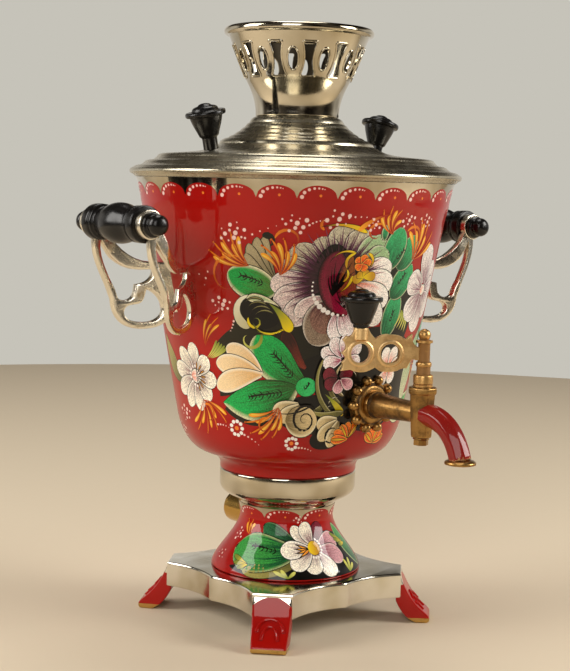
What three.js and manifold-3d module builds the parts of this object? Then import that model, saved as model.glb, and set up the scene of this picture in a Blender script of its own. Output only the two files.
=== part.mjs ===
// Three-litre electric samovar: a spun tapered body on a flared pedestal and a four-legged cast
// base, a lid with a pierced crown, two turned grips on fretwork arms, and a plug tap whose
// fretwork key turns about an upright axis. Millimetres, +Z up, table at z = 0, tap towards -Y.
import * as THREE from 'three';
import { mergeVertices } from 'three/addons/utils/BufferGeometryUtils.js';
import Module from 'manifold-3d';

const wasm = await Module();
wasm.setup();

// Sheet metal and clearances
const SHEET = 1.2;                 // wall of the spun brass pieces
const SEAT = 0.3;                  // gap between pieces that touch
const FIT = 0.3;                   // radial clearance of a pin or screw in its hole
const THROUGH = 4;                 // how far a drill runs past the wall that it pierces

// Facets round a turned piece, by its size
const ROUND_LARGE = 28;
const ROUND_CROWN = 24;            // one flat to each hole
const ROUND_MIDDLE = 12;
const ROUND_SMALL = 8;
const OUTER_SLACK = 0.25;          // how far a wall's facets may leave its curve, outside
const INNER_SLACK = 0.9;           // and inside

// Base casting
const PLATE_TOP_Z = 33.6;          // face that carries the pedestal
const PLATE_THICK = 3;
const SKIRT_BOTTOM_Z = 17;
const SKIRT_WALL = 3;
const CORNER_R = 79.5;             // plate's end over each leg, where the leg starts
const CUSP_R = 63;                 // pointed ridge in the middle of each side
const SIDE_HOLLOW = 9;             // how far each side curves in between leg and cusp
const LEG_WIDTH = 25.5;
const TOE_R = 99.5;
const TOE_Z = 3;
const TOE_ROUND = 3;
const SOLE_LENGTH = 7;
const LEG_SWING = 4;               // how far the upper leg leans out before it curves to the toe
const LEG_COUNT = 4;
const BASE_HOLE_R = 40;

// Bottom cover and the stud that ties the stack together
const COVER_R = 46;
const COVER_THICK = 1.5;
const STUD_R = 3;
const STUD_FLANGE_R = 9;
const STUD_FLANGE_THICK = 2;
const NUT_HEIGHT = 5;
const STUD_NUT_ACROSS = 10;
const STUD_TAIL = 2;

// Pedestal and neck ring
const PEDESTAL_FOOT_R = 50.5;
const PEDESTAL_WAIST_R = 31.5;
const PEDESTAL_WAIST_Z = 70;
const PEDESTAL_TOP_R = 32.9;
const PEDESTAL_TOP_Z = 77.7;
const PEDESTAL_FLANGE = 7;         // width of the turned-in foot
const PEDESTAL_FOOT_PULL = 9;      // how far the flare keeps its direction at the foot
const PEDESTAL_WAIST_PULL = 12;    // and at the waist
const NECK_R = 46;
const NECK_ROUND_Z = 90;           // the band rounds in below this height
const NECK_FLANGE = 5;             // width of the turned-in top
const NECK_PULL = 5;               // fullness of the rounding under the band

// Body
const FLOOR_Z = 101;               // underside of the reservoir floor
const COLLAR_HEIGHT = 3;           // straight collar over the neck ring
const BOTTOM_R = 58;               // where the bottom turns up into the wall
const BOTTOM_Z = 113.2;
const BOTTOM_PULL = 9;             // fullness of the rounded bottom
const WALL_PULL = 12;
const WALL_FOOT_R = 75.6;
const WALL_FOOT_Z = 139;
const WALL_TOP_R = 99.9;
const WALL_TOP_Z = 268.5;
const SHOULDER_STEP = 2.6;         // small step under the lip
const SHOULDER_R = WALL_TOP_R + SHOULDER_STEP;
const SHOULDER_RISE = 11;
const SHOULDER_Z = WALL_TOP_Z + SHOULDER_RISE;
const SHOULDER_PULL = 5;           // softness of the step
const LIP_PULL = 8;
const LIP_FLARE = 3.7;
const LIP_R = SHOULDER_R + LIP_FLARE;
const LIP_RISE = 14.5;
const LIP_Z = SHOULDER_Z + LIP_RISE;

// Lid
const LID_OVERHANG = 4.1;
const LID_RIM_R = LIP_R + LID_OVERHANG;
const LID_RIM_DROP = 4;            // rim bead centre over the lip
const LID_BEAD_R = 2;
const LID_CREASE_R = 51.7;
const LID_CREASE_RISE = 23;        // over the lip
const LID_SEAT_R = 28.6;           // flat under the crown
const LID_SEAT_RISE = 41.5;
const LID_SPIGOT_DEPTH = 6;
const LID_SPIGOT_SLACK = 1;
const LID_CONE_BOW = [8, -16];     // how the cone bows in, from the crown's seat
const LID_CREASE_LIP = [-1.2, 2.4]; // low ridge over the crease
const LID_SLOPE_BOW = [9, -4.4];   // how the slope outside the crease bows
const LID_KNOB_OUT = 18.3;         // knobs from the crease
const LID_KNOB_AT_R = LID_CREASE_R + LID_KNOB_OUT;
const LID_KNOB_LEAN = 13;          // degrees, outward
const LID_KNOB_SEAT = [2, -5.8];   // end of the slope past the knob, down from the crease
const LID_STEPS = [                // between slope and rim, from the rim bead's centre
  [-22, 11.8],
  [-19, 11.4, -16, 7.8],
  [-11.3, 6.9],
  [-8.8, 6.4, -4.6, 2.8],
];

// Crown
const CROWN_FOOT_R = 27.8;
const CROWN_MID_R = 34.5;
const CROWN_MID_RISE = 23.6;
const CROWN_MOUTH_R = 47.5;
const CROWN_HEIGHT = 58;
const CROWN_BEAD_R = 2.8;
const CROWN_BEAD_SIDES = 8;        // a flat one on top carries the teapot
const CROWN_HOLES = 12;            // of each of the two shapes
const CROWN_HOLE_RISE = 35.5;      // hole centres over the crown's foot
const HOURGLASS_HEIGHT = 20.5;
const HOURGLASS_END = 8;
const HOURGLASS_WAIST = 5.4;
const HOURGLASS_CLIP = 1;
const OVAL_HEIGHT = 13;
const OVAL_WIDTH = 6;
const CROWN_SCREW_R = 2.5;
const CROWN_SCREW_HEAD_R = 5.5;
const CROWN_SCREW_LENGTH = 11;
const CROWN_SCREW_HEAD = 2.6;
const CROWN_NUT_ACROSS = 8;
const CROWN_NUT_HEIGHT = 4;

// Turned knobs of the lid and of the tap key
const KNOB_RIM_R = 13;
const KNOB_CONE_TOP_R = 10.4;
const KNOB_CONE_FOOT_R = 6.2;
const KNOB_STEM_R = 4.8;
const KNOB_CONE_HEIGHT = 14;
const KNOB_RIM_HEIGHT = 3.4;
const KNOB_CAP_R = 8.6;
const KNOB_CAP_HEIGHT = 5;
const KNOB_EDGE = 1.2;             // height of the knob's small roundings
const KNOB_FOOT_LIFT = 0.5;        // the lid falls away under a leaning knob
const LID_KNOB_STEM = 7.5;
const KEY_KNOB_STEM = 1.5;
const KNOB_PIN_R = 2;
const KNOB_PIN_DEPTH = 11;
const PIN_HEAD_R = 4.5;
const PIN_HEAD_HEIGHT = 2;

// Handles
const GRIP_BULGE_R = 12.7;
const HAND_ROOM = 25;              // between the wall's top and the grip
const GRIP_X = WALL_TOP_R + HAND_ROOM + GRIP_BULGE_R;
const GRIP_Z = 265;
const EYE_Y = 31;                  // middle of each arm's eye
const EYE_R = 9;
const EYE_THICK = 5.4;
const ARM_THICK = 5;
const ARM_FOOT_Y = 13;             // where the arms meet the body
const ARM_FOOT_Z = 235;
const ARM_RELIEF = 1;              // radial room for the grip's collar
const ARM_BEND = 12;               // the arms run straight past the collar, then close in
const ARM_HEIGHT = 68;             // grip axis to the arm's lowest point
const GRIP_NECK_R = 9.6;
const GRIP_COLLAR_R = 11.4;
const GRIP_NECK_Y = 17;
const GRIP_COLLAR_Y = 22;
const GRIP_EDGE = 1;
const ROD_R = 2.5;
const CAP_R = 6.6;
const CAP_FLANGE_R = 7.6;
const CAP_LENGTH = 11.3;
const CAP_FLANGE_THICK = 2.4;
const CAP_BORE_DEPTH = 5.5;
const ARM_SCREW_R = 1.2;
const ARM_SCREW_HEAD_R = 3;
const ARM_SCREW_HEAD = 1.6;
const ARM_SCREW_GRIP = 5;          // length inside the arm
const ARM_SCREW_STAND = 1.4;       // of its head off the slanting wall
const ARM_SCREW_DROPS = [31.5, 43.5]; // below the grip axis

// Tap
const TAP_Z = 154;
const PIPE_LENGTH = 44.4;          // rosette's face to the plug axis
const ROSETTE_R = 14.2;
const ROSETTE_RISE = 4.2;          // its face off the wall
const BEAD_COUNT = 10;
const BEAD_RING_R = 15.6;
const BEAD_R = 3.2;
const BEAD_SIDES = 6;
const BEAD_CROWN = 2.6;            // height of a bead's dome over the rosette's face
const ROSETTE_DEPTH = 6;           // how far it reaches in to meet the curving wall
const TAP_THREAD_R = 6;
const TAP_FLANGE_R = 8.9;
const TAP_FLANGE_THICK = 2.6;
const PIPE_ROOT_R = 7.9;
const PIPE_END_R = 6.4;
const WATERWAY_R = 3.6;
const TAIL_DEPTH = 16.4;           // threaded tail's end inside the wall
const GASKET_R = 11;
const GASKET_DEPTH = 7.4;
const BACK_NUT_ACROSS = 20;
const BACK_NUT_HEIGHT = 5;
const BARREL_TOP_Z = 170.4;
const BARREL_BOTTOM_Z = 139.4;
const BARREL_TOP_R = 9.2;
const BARREL_BOTTOM_R = 6.6;
const BARREL_SIDES = 8;
const BARREL_RIM_HEIGHT = 3;
const BARREL_RIM_STEP = 1;
const PLUG_TOP_R = 5.4;
const PLUG_BOTTOM_R = 4;
const PLUG_TAIL_R = 2.4;
const SPOUT_R = 7.2;
const SPOUT_BORE_R = 4.4;
const SPOUT_REACH = 33.7;          // mouth centre in front of the plug axis
const SPOUT_DROP_LEAN = 5.4;       // the spout still leans forward as it comes down
const SPOUT_STEPS = 8;
const MOUTH_Z = 127.8;
const MOUTH_R = 9.5;
const MOUTH_THICK = 3;

// Plug stem, heights over the barrel
const STEM_RING_R = 6.1;
const STEM_RING_TOP = 7.6;
const STEM_LOWER_R = 4.3;
const STEM_LOWER_TOP = 12.6;
const STEM_BAND_R = 4.8;
const STEM_BAND_TOP = 15.6;
const STEM_UPPER_R = 3.7;
const STEM_UPPER_TOP = 27.2;
const STEM_DISC_R = 5.2;
const STEM_DISC_THICK = 1.4;
const FINIAL_R = 3.8;
const STEM_EDGE = 1;
const PLUG_WATERWAY_R = 3.2;
const WASHER_R = 5;
const WASHER_THICK = 1;
const PLUG_NUT_HEIGHT = 3.2;
const PLUG_NUT_ACROSS = 8;

// Tap key
const KEY_ANGLE = 150;             // degrees from +X, at rest
const KEY_THICK = 3.6;
const KEY_RISE = 20.4;             // ring centres over the barrel
const KEY_RING_NEAR = 21.4;        // ring centres from the plug axis
const KEY_RING_FAR = 39.8;
const KEY_HOLE_R = 6;
const KEY_RING_R = 8.7;
const KEY_HALF_HEIGHT = 11.4;
const KEY_TAIL = 12;               // plate's end from the far ring's centre
const KEY_RING_THICK = 5;
const KEY_LUG_RISE = 15.4;         // lug top over the ring centres
const LUG_R = 4.4;
const LUG_HEIGHT = 7;
const KEY_TONGUE = 8;              // height of the tongue in the stem
const KEY_TONGUE_THICK = 2.6;

// Heater
const HEATER_TUBE_R = 4;
const HEATER_RING_R = 38;
const HEATER_RING_Z = 124;
const HEATER_LEG_X = 15;
const HEATER_LEG_Y = 20;
const HEATER_LEG_BOTTOM_Z = 87;
const HEATER_COLLAR_R = 7;
const HEATER_COLLAR_THICK = 2.4;
const HEATER_GASKET_R = 8.6;
const HEATER_GASKET_THICK = 2;
const HEATER_NUT_ACROSS = 14;
const HEATER_LEG_TURN = 10;        // height of the bend from leg to ring
const HEATER_GAP_ANGLE = 0.35;     // radians from each leg to where its side of the ring starts
const HEATER_RING_POINTS = 12;
const HEATER_STEPS = 24;

// Power inlet
const INLET_Z = 63.6;
const INLET_R = 10.8;
const INLET_WALL = 1.2;
const INLET_LIP = 1;               // rounding of the shroud's edge
const INLET_ROOT_Y = 27;
const INLET_END_Y = 57;
const INSULATOR_FACE_Y = 37;
const INSULATOR_THICK = 8;
const PIN_SPACING = 9;
const PIN_R = 2;
const PIN_END_Y = 52;
const PIN_TAIL_Y = 24;
const PIN_COLLAR_R = 3.2;
const PIN_COLLAR_THICK = 2;
const LEAD_R = 1.5;
const LEAD_DROOP = 14;             // how far a lead runs straight at each end
const LEAD_STEPS = 8;
const TUBE_SIDES = 6;

// Shape helpers

function toSolid(geometry) {
  // Weld the geometry's corners, drop the empty triangles and make it a solid.
  const bare = geometry.clone();
  bare.deleteAttribute('normal');
  bare.deleteAttribute('uv');
  const welded = mergeVertices(bare, 1e-4);
  const index = welded.index.array;
  const kept = [];
  for (let i = 0; i < index.length; i += 3) {
    const [a, b, c] = [index[i], index[i + 1], index[i + 2]];
    if (a !== b && b !== c && c !== a) kept.push(a, b, c);
  }
  return new wasm.Manifold(new wasm.Mesh({
    numProp: 3,
    vertProperties: new Float32Array(welded.attributes.position.array),
    triVerts: new Uint32Array(kept),
  }));
}

function toGeometry(solid) {
  const mesh = solid.getMesh();
  const geometry = new THREE.BufferGeometry();
  geometry.setAttribute('position', new THREE.BufferAttribute(mesh.vertProperties, 3));
  geometry.setIndex(new THREE.BufferAttribute(mesh.triVerts, 1));
  geometry.computeVertexNormals();
  return geometry;
}

function turned(outline, segments) {
  // A closed outline of (radius, height) points spun about Z, faces outward.
  const points = outline.map(([r, z]) => new THREE.Vector2(Math.max(r, 0), z));
  if (THREE.ShapeUtils.area(points) < 0) points.reverse();
  points.push(points[0].clone());
  return toSolid(new THREE.LatheGeometry(points, segments).rotateX(Math.PI / 2));
}

function rod(radius, low, high, segments) {
  return turned([[0, low], [radius, low], [radius, high], [0, high]], segments);
}

function drill(radius, low, high, segments) {
  // A hole whose flats, not its corners, lie at the radius.
  return rod(radius / Math.cos(Math.PI / segments), low, high, segments);
}

function ring(inner, outer, low, high, segments) {
  return rod(outer, low, high, segments).subtract(drill(inner, low - 1, high + 1, segments));
}

function hexNut(across, bore, low, high) {
  const corner = across / Math.sqrt(3);
  return turned([[0, low], [corner, low], [corner, high], [0, high]], 6)
    .subtract(drill(bore, low - 1, high + 1, ROUND_SMALL));
}

function samples(path, divisions) {
  return path.getPoints(divisions).map((p) => [p.x, p.y]);
}

function offsetLine(line, distance) {
  // The line moved to its left by distance, with mitred corners and square-cut ends.
  const normals = [];
  for (let i = 1; i < line.length; i += 1) {
    const [dx, dz] = [line[i][0] - line[i - 1][0], line[i][1] - line[i - 1][1]];
    const length = Math.hypot(dx, dz);
    normals.push([-dz / length, dx / length]);
  }
  return line.map((point, i) => {
    if (i === 0 || i === line.length - 1) {
      const [nx, nz] = normals[Math.min(i, normals.length - 1)];
      const steep = Math.abs(nx) > Math.abs(nz);
      return steep ? [point[0] + distance / nx, point[1]] : [point[0], point[1] + distance / nz];
    }
    const [a, b] = [normals[i - 1], normals[i]];
    const scale = distance / (1 + a[0] * b[0] + a[1] * b[1]);
    return [point[0] + (a[0] + b[0]) * scale, point[1] + (a[1] + b[1]) * scale];
  });
}

function thinned(line, slack) {
  // The line without the points that lie within slack of their neighbours' chord.
  const kept = [line[0]];
  for (let i = 1; i < line.length - 1; i += 1) {
    const [a, b, c] = [kept[kept.length - 1], line[i], line[i + 1]];
    const cross = (c[0] - a[0]) * (b[1] - a[1]) - (c[1] - a[1]) * (b[0] - a[0]);
    if (Math.abs(cross) > slack * Math.hypot(c[0] - a[0], c[1] - a[1])) kept.push(b);
  }
  kept.push(line[line.length - 1]);
  return kept;
}

function sheet(line, thickness, segments) {
  // A spun sheet whose outer face is the line, run with the metal on its left.
  const inner = thinned(offsetLine(line, thickness), INNER_SLACK).reverse();
  return turned([...thinned(line, OUTER_SLACK), ...inner], segments);
}

function radiusAt(line, z) {
  // Radius of a profile line at a height.
  for (let i = 1; i < line.length; i += 1) {
    const [r0, z0] = line[i - 1];
    const [r1, z1] = line[i];
    if ((z - z0) * (z - z1) <= 0 && z0 !== z1) return r0 + (r1 - r0) * (z - z0) / (z1 - z0);
  }
  return line[line.length - 1][0];
}

function heightAt(line, r) {
  return radiusAt(line.map(([radius, z]) => [z, radius]), r);
}

function plate(shape, thickness, divisions) {
  // A flat shape in the XZ plane, of the given thickness about y = 0.
  const options = { depth: thickness, bevelEnabled: false, curveSegments: divisions };
  const geometry = new THREE.ExtrudeGeometry(shape, options);
  return toSolid(geometry.translate(0, 0, -thickness / 2).rotateX(Math.PI / 2));
}

function slab(shape, low, high, divisions) {
  // A flat shape in the XY plane between two heights.
  const options = { depth: high - low, bevelEnabled: false, curveSegments: divisions };
  return toSolid(new THREE.ExtrudeGeometry(shape, options).translate(0, 0, low));
}

function block(sizeX, sizeY, sizeZ, x, y, z) {
  return toSolid(new THREE.BoxGeometry(sizeX, sizeY, sizeZ).translate(x, y, z));
}

function roundShape(radius, sides, phase) {
  const shape = new THREE.Shape();
  for (let i = 0; i < sides; i += 1) {
    const angle = phase + (i / sides) * 2 * Math.PI;
    const corner = [radius * Math.cos(angle), radius * Math.sin(angle)];
    if (i === 0) shape.moveTo(...corner);
    else shape.lineTo(...corner);
  }
  shape.closePath();
  return shape;
}

function traced(path, unit, points) {
  // An outline in multiples of unit: a start, then lines (two numbers) and curves (four or six).
  const draw = { 2: 'lineTo', 4: 'quadraticCurveTo', 6: 'bezierCurveTo' };
  const [start, ...rest] = points.map((point) => point.map((value) => value * unit));
  path.moveTo(...start);
  for (const point of rest) path[draw[point.length]](...point);
  path.closePath();
  return path;
}

function swept(radius, sides, curve, steps) {
  // A tube along a curve, solid right through.
  const section = roundShape(radius, sides, Math.PI / sides);
  return toSolid(new THREE.ExtrudeGeometry(section, { steps, bevelEnabled: false, extrudePath: curve }));
}

function alongY(solid, y) {
  // Turn a piece made about Z so that its axis runs along +Y from y, at the origin's height.
  return solid.rotate([-90, 0, 0]).translate([0, y, 0]);
}

// Finishes
const FINISHES = {
  nickel: { color: 0xcfc4ae, roughness: 0.22, metalness: 1 },
  enamel: { color: 0xb0120c, roughness: 0.18, metalness: 0 },
  bronze: { color: 0xa47a3c, roughness: 0.4, metalness: 1 },
  brass: { color: 0xc79a4e, roughness: 0.35, metalness: 1 },
  steel: { color: 0x9a9a98, roughness: 0.4, metalness: 1 },
  black: { color: 0x121212, roughness: 0.25, metalness: 0 },
  rubber: { color: 0x2b2926, roughness: 0.8, metalness: 0 },
  ceramic: { color: 0xe6e0d2, roughness: 0.5, metalness: 0 },
  fabric: { color: 0xb9a67c, roughness: 0.9, metalness: 0 },
};

function named(name, solid, finish) {
  const mesh = new THREE.Mesh(toGeometry(solid), new THREE.MeshStandardMaterial(FINISHES[finish]));
  mesh.name = name;
  return mesh;
}

const samovar = new THREE.Group();

// Outer profiles of the stack, each from its foot up

function pedestalLine() {
  const path = new THREE.Path();
  const foot = PLATE_TOP_Z + SEAT;
  path.moveTo(PEDESTAL_FOOT_R - PEDESTAL_FLANGE, foot);
  path.lineTo(PEDESTAL_FOOT_R, foot);
  path.bezierCurveTo(PEDESTAL_FOOT_R - 1, foot + PEDESTAL_FOOT_PULL,
    PEDESTAL_WAIST_R, PEDESTAL_WAIST_Z - PEDESTAL_WAIST_PULL, PEDESTAL_WAIST_R, PEDESTAL_WAIST_Z);
  path.lineTo(PEDESTAL_TOP_R, PEDESTAL_TOP_Z);
  return samples(path, 3);
}

function neckLine() {
  const path = new THREE.Path();
  path.moveTo(PEDESTAL_TOP_R, PEDESTAL_TOP_Z + SEAT);
  path.bezierCurveTo(PEDESTAL_TOP_R + NECK_PULL / 2, PEDESTAL_TOP_Z + NECK_PULL,
    NECK_R - 1, PEDESTAL_TOP_Z + NECK_PULL, NECK_R, NECK_ROUND_Z);
  path.lineTo(NECK_R, FLOOR_Z - SEAT);
  path.lineTo(NECK_R - NECK_FLANGE, FLOOR_Z - SEAT);
  return samples(path, 2);
}

function bodyLine() {
  const path = new THREE.Path();
  path.moveTo(0, FLOOR_Z);
  path.lineTo(NECK_R, FLOOR_Z);
  path.lineTo(NECK_R, FLOOR_Z + COLLAR_HEIGHT);
  path.quadraticCurveTo(NECK_R + 1, BOTTOM_Z - COLLAR_HEIGHT, BOTTOM_R, BOTTOM_Z);
  const taper = (WALL_TOP_R - WALL_FOOT_R) / (WALL_TOP_Z - WALL_FOOT_Z);
  path.bezierCurveTo(BOTTOM_R + BOTTOM_PULL, BOTTOM_Z + BOTTOM_PULL / 4,
    WALL_FOOT_R - taper * WALL_PULL, WALL_FOOT_Z - WALL_PULL, WALL_FOOT_R, WALL_FOOT_Z);
  path.lineTo(WALL_TOP_R, WALL_TOP_Z);
  path.bezierCurveTo(WALL_TOP_R + taper * SHOULDER_PULL, WALL_TOP_Z + SHOULDER_PULL,
    SHOULDER_R - taper * SHOULDER_PULL, SHOULDER_Z - SHOULDER_PULL, SHOULDER_R, SHOULDER_Z);
  path.quadraticCurveTo(SHOULDER_R + 1, SHOULDER_Z + LIP_PULL, LIP_R, LIP_Z);
  return samples(path, 3);
}

const BODY_LINE = bodyLine();
const WALL_LINE = BODY_LINE.slice(3);
const BODY_KEEPOUT = turned([...offsetLine(BODY_LINE, -SEAT), [0, LIP_Z]], ROUND_LARGE);
const BODY_CAVITY_CLEAR = turned([...offsetLine(BODY_LINE, SHEET + SEAT), [0, LIP_Z]], ROUND_LARGE);

// Base casting: plate, curved-sided skirt and four legs

function baseShape(inset) {
  // The plan: four square corners on the diagonals and a cusp in the middle of each side.
  const shape = new THREE.Shape();
  const half = LEG_WIDTH / 2 - inset;
  const corner = CORNER_R - inset;
  const cusp = CUSP_R - inset;
  for (let i = 0; i < LEG_COUNT; i += 1) {
    const diagonal = Math.PI / 4 + i * Math.PI / 2;
    const side = diagonal + Math.PI / 4;
    const at = (along, across) => [
      along * Math.cos(diagonal) - across * Math.sin(diagonal),
      along * Math.sin(diagonal) + across * Math.cos(diagonal),
    ];
    const first = at(corner, -half);
    const last = at(corner, half);
    const next = [cusp * Math.cos(side), cusp * Math.sin(side)];
    const after = [-first[1], first[0]];
    const bend = (a, b) => [
      (a[0] + b[0]) / 2 - SIDE_HOLLOW * Math.cos(side),
      (a[1] + b[1]) / 2 - SIDE_HOLLOW * Math.sin(side),
    ];
    if (i === 0) shape.moveTo(...first);
    shape.lineTo(...last);
    shape.quadraticCurveTo(...bend(last, next), ...next);
    shape.quadraticCurveTo(...bend(next, after), ...after);
  }
  return shape;
}

function legProfile() {
  // S-curved leg seen from the side, in (distance from the axis, height).
  const root = CORNER_R - SKIRT_WALL;
  const top = PLATE_TOP_Z - PLATE_THICK / 2;
  const shape = new THREE.Shape();
  shape.moveTo(root, top);
  shape.lineTo(CORNER_R, top);
  shape.bezierCurveTo(CORNER_R + LEG_SWING, PLATE_TOP_Z / 2, CORNER_R + LEG_SWING, PLATE_TOP_Z / 2,
    TOE_R - TOE_ROUND, TOE_Z + TOE_ROUND * 1.5);
  shape.quadraticCurveTo(TOE_R, TOE_Z + TOE_ROUND, TOE_R, TOE_Z);
  shape.lineTo(TOE_R - 2, 0);
  shape.lineTo(TOE_R - 2 - SOLE_LENGTH, 0);
  shape.bezierCurveTo(CORNER_R + LEG_SWING, 1, CORNER_R, PLATE_TOP_Z / 4, root, SKIRT_BOTTOM_Z - 2);
  shape.closePath();
  return shape;
}

function baseCasting() {
  const outer = slab(baseShape(0), SKIRT_BOTTOM_Z, PLATE_TOP_Z, 3);
  const under = slab(baseShape(SKIRT_WALL), SKIRT_BOTTOM_Z - 1, PLATE_TOP_Z - PLATE_THICK, 3);
  let solid = outer.subtract(under);
  solid = solid.subtract(rod(BASE_HOLE_R, SKIRT_BOTTOM_Z, PLATE_TOP_Z + 1, ROUND_LARGE));
  const leg = plate(legProfile(), LEG_WIDTH, 3);
  for (let i = 0; i < LEG_COUNT; i += 1) {
    solid = solid.add(leg.rotate([0, 0, 45 + i * 360 / LEG_COUNT]));
  }
  return solid;
}

samovar.add(named('base_casting', baseCasting(), 'nickel'));

// Bottom cover, tie stud and nut
const coverTop = PLATE_TOP_Z - PLATE_THICK - SEAT;
const coverBottom = coverTop - COVER_THICK;
const cover = ring(STUD_R + FIT, COVER_R, coverBottom, coverTop, ROUND_LARGE);
samovar.add(named('bottom_cover', cover, 'steel'));

const tieNutTop = coverBottom - SEAT;
const tieNutBottom = tieNutTop - NUT_HEIGHT;
const studTop = FLOOR_Z - SEAT;
samovar.add(named('tie_stud', turned([
  [0, tieNutBottom - STUD_TAIL],
  [STUD_R, tieNutBottom - STUD_TAIL],
  [STUD_R, studTop - STUD_FLANGE_THICK],
  [STUD_FLANGE_R, studTop - STUD_FLANGE_THICK],
  [STUD_FLANGE_R, studTop],
  [0, studTop],
], ROUND_SMALL), 'steel'));
samovar.add(named('tie_nut', hexNut(STUD_NUT_ACROSS, STUD_R + FIT, tieNutBottom, tieNutTop), 'steel'));

// Pedestal with the inlet hole, and the neck ring over it
function behind(solid) {
  // A piece made about Z laid along +Y at the inlet's height.
  return alongY(solid, 0).translate([0, 0, INLET_Z]);
}

const inletHole = behind(drill(INLET_R + FIT, 0, INLET_END_Y, ROUND_MIDDLE));
samovar.add(named('pedestal', sheet(pedestalLine(), SHEET, ROUND_LARGE).subtract(inletHole), 'enamel'));
samovar.add(named('neck_ring', sheet(neckLine(), SHEET, ROUND_LARGE), 'nickel'));

// Power inlet: a round shroud with an insulator and two contact pins
function inletShroud() {
  const inner = INLET_R - INLET_WALL;
  return turned([
    [inner, INLET_ROOT_Y],
    [INLET_R, INLET_ROOT_Y],
    [INLET_R, INLET_END_Y - INLET_LIP],
    [INLET_R - INLET_LIP / 2, INLET_END_Y],
    [inner, INLET_END_Y],
  ], ROUND_MIDDLE);
}

samovar.add(named('power_inlet_shroud', behind(inletShroud()), 'brass'));

function insulator() {
  const back = INSULATOR_FACE_Y - INSULATOR_THICK;
  let disc = rod(INLET_R - INLET_WALL - FIT, back, INSULATOR_FACE_Y, ROUND_MIDDLE);
  for (const side of [-1, 1]) {
    const hole = drill(PIN_R + FIT, back - 1, INSULATOR_FACE_Y + 1, ROUND_SMALL);
    disc = disc.subtract(hole.translate([side * PIN_SPACING / 2, 0, 0]));
  }
  return disc;
}

samovar.add(named('inlet_insulator', behind(insulator()), 'ceramic'));

function contactPin() {
  const collar = INSULATOR_FACE_Y - INSULATOR_THICK - SEAT;
  return turned([
    [0, PIN_TAIL_Y],
    [PIN_R, PIN_TAIL_Y],
    [PIN_R, collar - PIN_COLLAR_THICK],
    [PIN_COLLAR_R, collar - PIN_COLLAR_THICK],
    [PIN_COLLAR_R, collar],
    [PIN_R, collar],
    [PIN_R, PIN_END_Y - PIN_R / 2],
    [PIN_R / 2, PIN_END_Y],
    [0, PIN_END_Y],
  ], ROUND_SMALL);
}

// Heater: a ring element on two legs, each with a gasket inside and a nut under the floor
function heaterPath() {
  // Up one leg, round the long way and down the other leg.
  const start = Math.atan2(HEATER_LEG_Y, HEATER_LEG_X) - HEATER_GAP_ANGLE;
  const sweep = -(2 * start + Math.PI);
  const leg = (side) => [HEATER_LEG_BOTTOM_Z, FLOOR_Z + SHEET, HEATER_RING_Z - HEATER_LEG_TURN]
    .map((z) => new THREE.Vector3(side * HEATER_LEG_X, HEATER_LEG_Y, z));
  const turn = [];
  for (let i = 0; i <= HEATER_RING_POINTS; i += 1) {
    const angle = start + sweep * (i / HEATER_RING_POINTS);
    turn.push(new THREE.Vector3(Math.cos(angle), Math.sin(angle), 0)
      .multiplyScalar(HEATER_RING_R).setZ(HEATER_RING_Z));
  }
  return new THREE.CatmullRomCurve3([...leg(1), ...turn, ...leg(-1).reverse()]);
}

const gasketLow = FLOOR_Z + SHEET + SEAT;
const collarLow = gasketLow + HEATER_GASKET_THICK + SEAT;
let heater = swept(HEATER_TUBE_R, TUBE_SIDES, heaterPath(), HEATER_STEPS);
for (const side of [-1, 1]) {
  const collar = rod(HEATER_COLLAR_R, collarLow, collarLow + HEATER_COLLAR_THICK, ROUND_SMALL);
  heater = heater.add(collar.translate([side * HEATER_LEG_X, HEATER_LEG_Y, 0]));
}
samovar.add(named('heater_element', heater, 'steel'));

for (const [side, word] of [[-1, 'left'], [1, 'right']]) {
  const at = [side * HEATER_LEG_X, HEATER_LEG_Y, 0];
  const bore = HEATER_TUBE_R + FIT;
  const gasket = ring(bore, HEATER_GASKET_R, gasketLow, gasketLow + HEATER_GASKET_THICK, ROUND_SMALL);
  samovar.add(named(`heater_gasket_${word}`, gasket.translate(at), 'rubber'));
  const nutTop = FLOOR_Z - SEAT;
  const nut = hexNut(HEATER_NUT_ACROSS, bore, nutTop - NUT_HEIGHT, nutTop);
  samovar.add(named(`heater_nut_${word}`, nut.translate(at), 'steel'));

  const pin = behind(contactPin()).translate([side * PIN_SPACING / 2, 0, 0]);
  samovar.add(named(`contact_pin_${word}`, pin, 'brass'));

  const from = new THREE.Vector3(side * HEATER_LEG_X, HEATER_LEG_Y, HEATER_LEG_BOTTOM_Z - SEAT);
  const to = new THREE.Vector3(side * PIN_SPACING / 2, PIN_TAIL_Y - SEAT, INLET_Z);
  const lead = new THREE.CubicBezierCurve3(from, from.clone().setZ(from.z - LEAD_DROOP),
    to.clone().setY(to.y - LEAD_DROOP), to);
  samovar.add(named(`inlet_lead_${word}`, swept(LEAD_R, TUBE_SIDES, lead, LEAD_STEPS), 'fabric'));
}

// Places along the tap, from the body axis towards -Y
const tapWall = radiusAt(WALL_LINE, TAP_Z);
const rosetteFace = tapWall + ROSETTE_RISE;
const valveY = rosetteFace + PIPE_LENGTH;
const tailY = tapWall - TAIL_DEPTH;
const gasketFace = tapWall - GASKET_DEPTH;

function towardsTap(solid) {
  // Turn a piece made about Z so that its axis runs towards -Y at the tap's height.
  return solid.rotate([90, 0, 0]).translate([0, 0, TAP_Z]);
}

// Body shell: tap hole, arm screw holes, and heater holes in its floor
const armFootX = Math.sqrt(radiusAt(WALL_LINE, ARM_FOOT_Z) ** 2 - ARM_FOOT_Y ** 2);
const armBendX = GRIP_X - ARM_BEND;
const armDirection = new THREE.Vector2(armFootX - armBendX, ARM_FOOT_Y - EYE_Y).normalize();
const ARM_TURN = THREE.MathUtils.radToDeg(Math.atan2(armDirection.y, armDirection.x));

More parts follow.
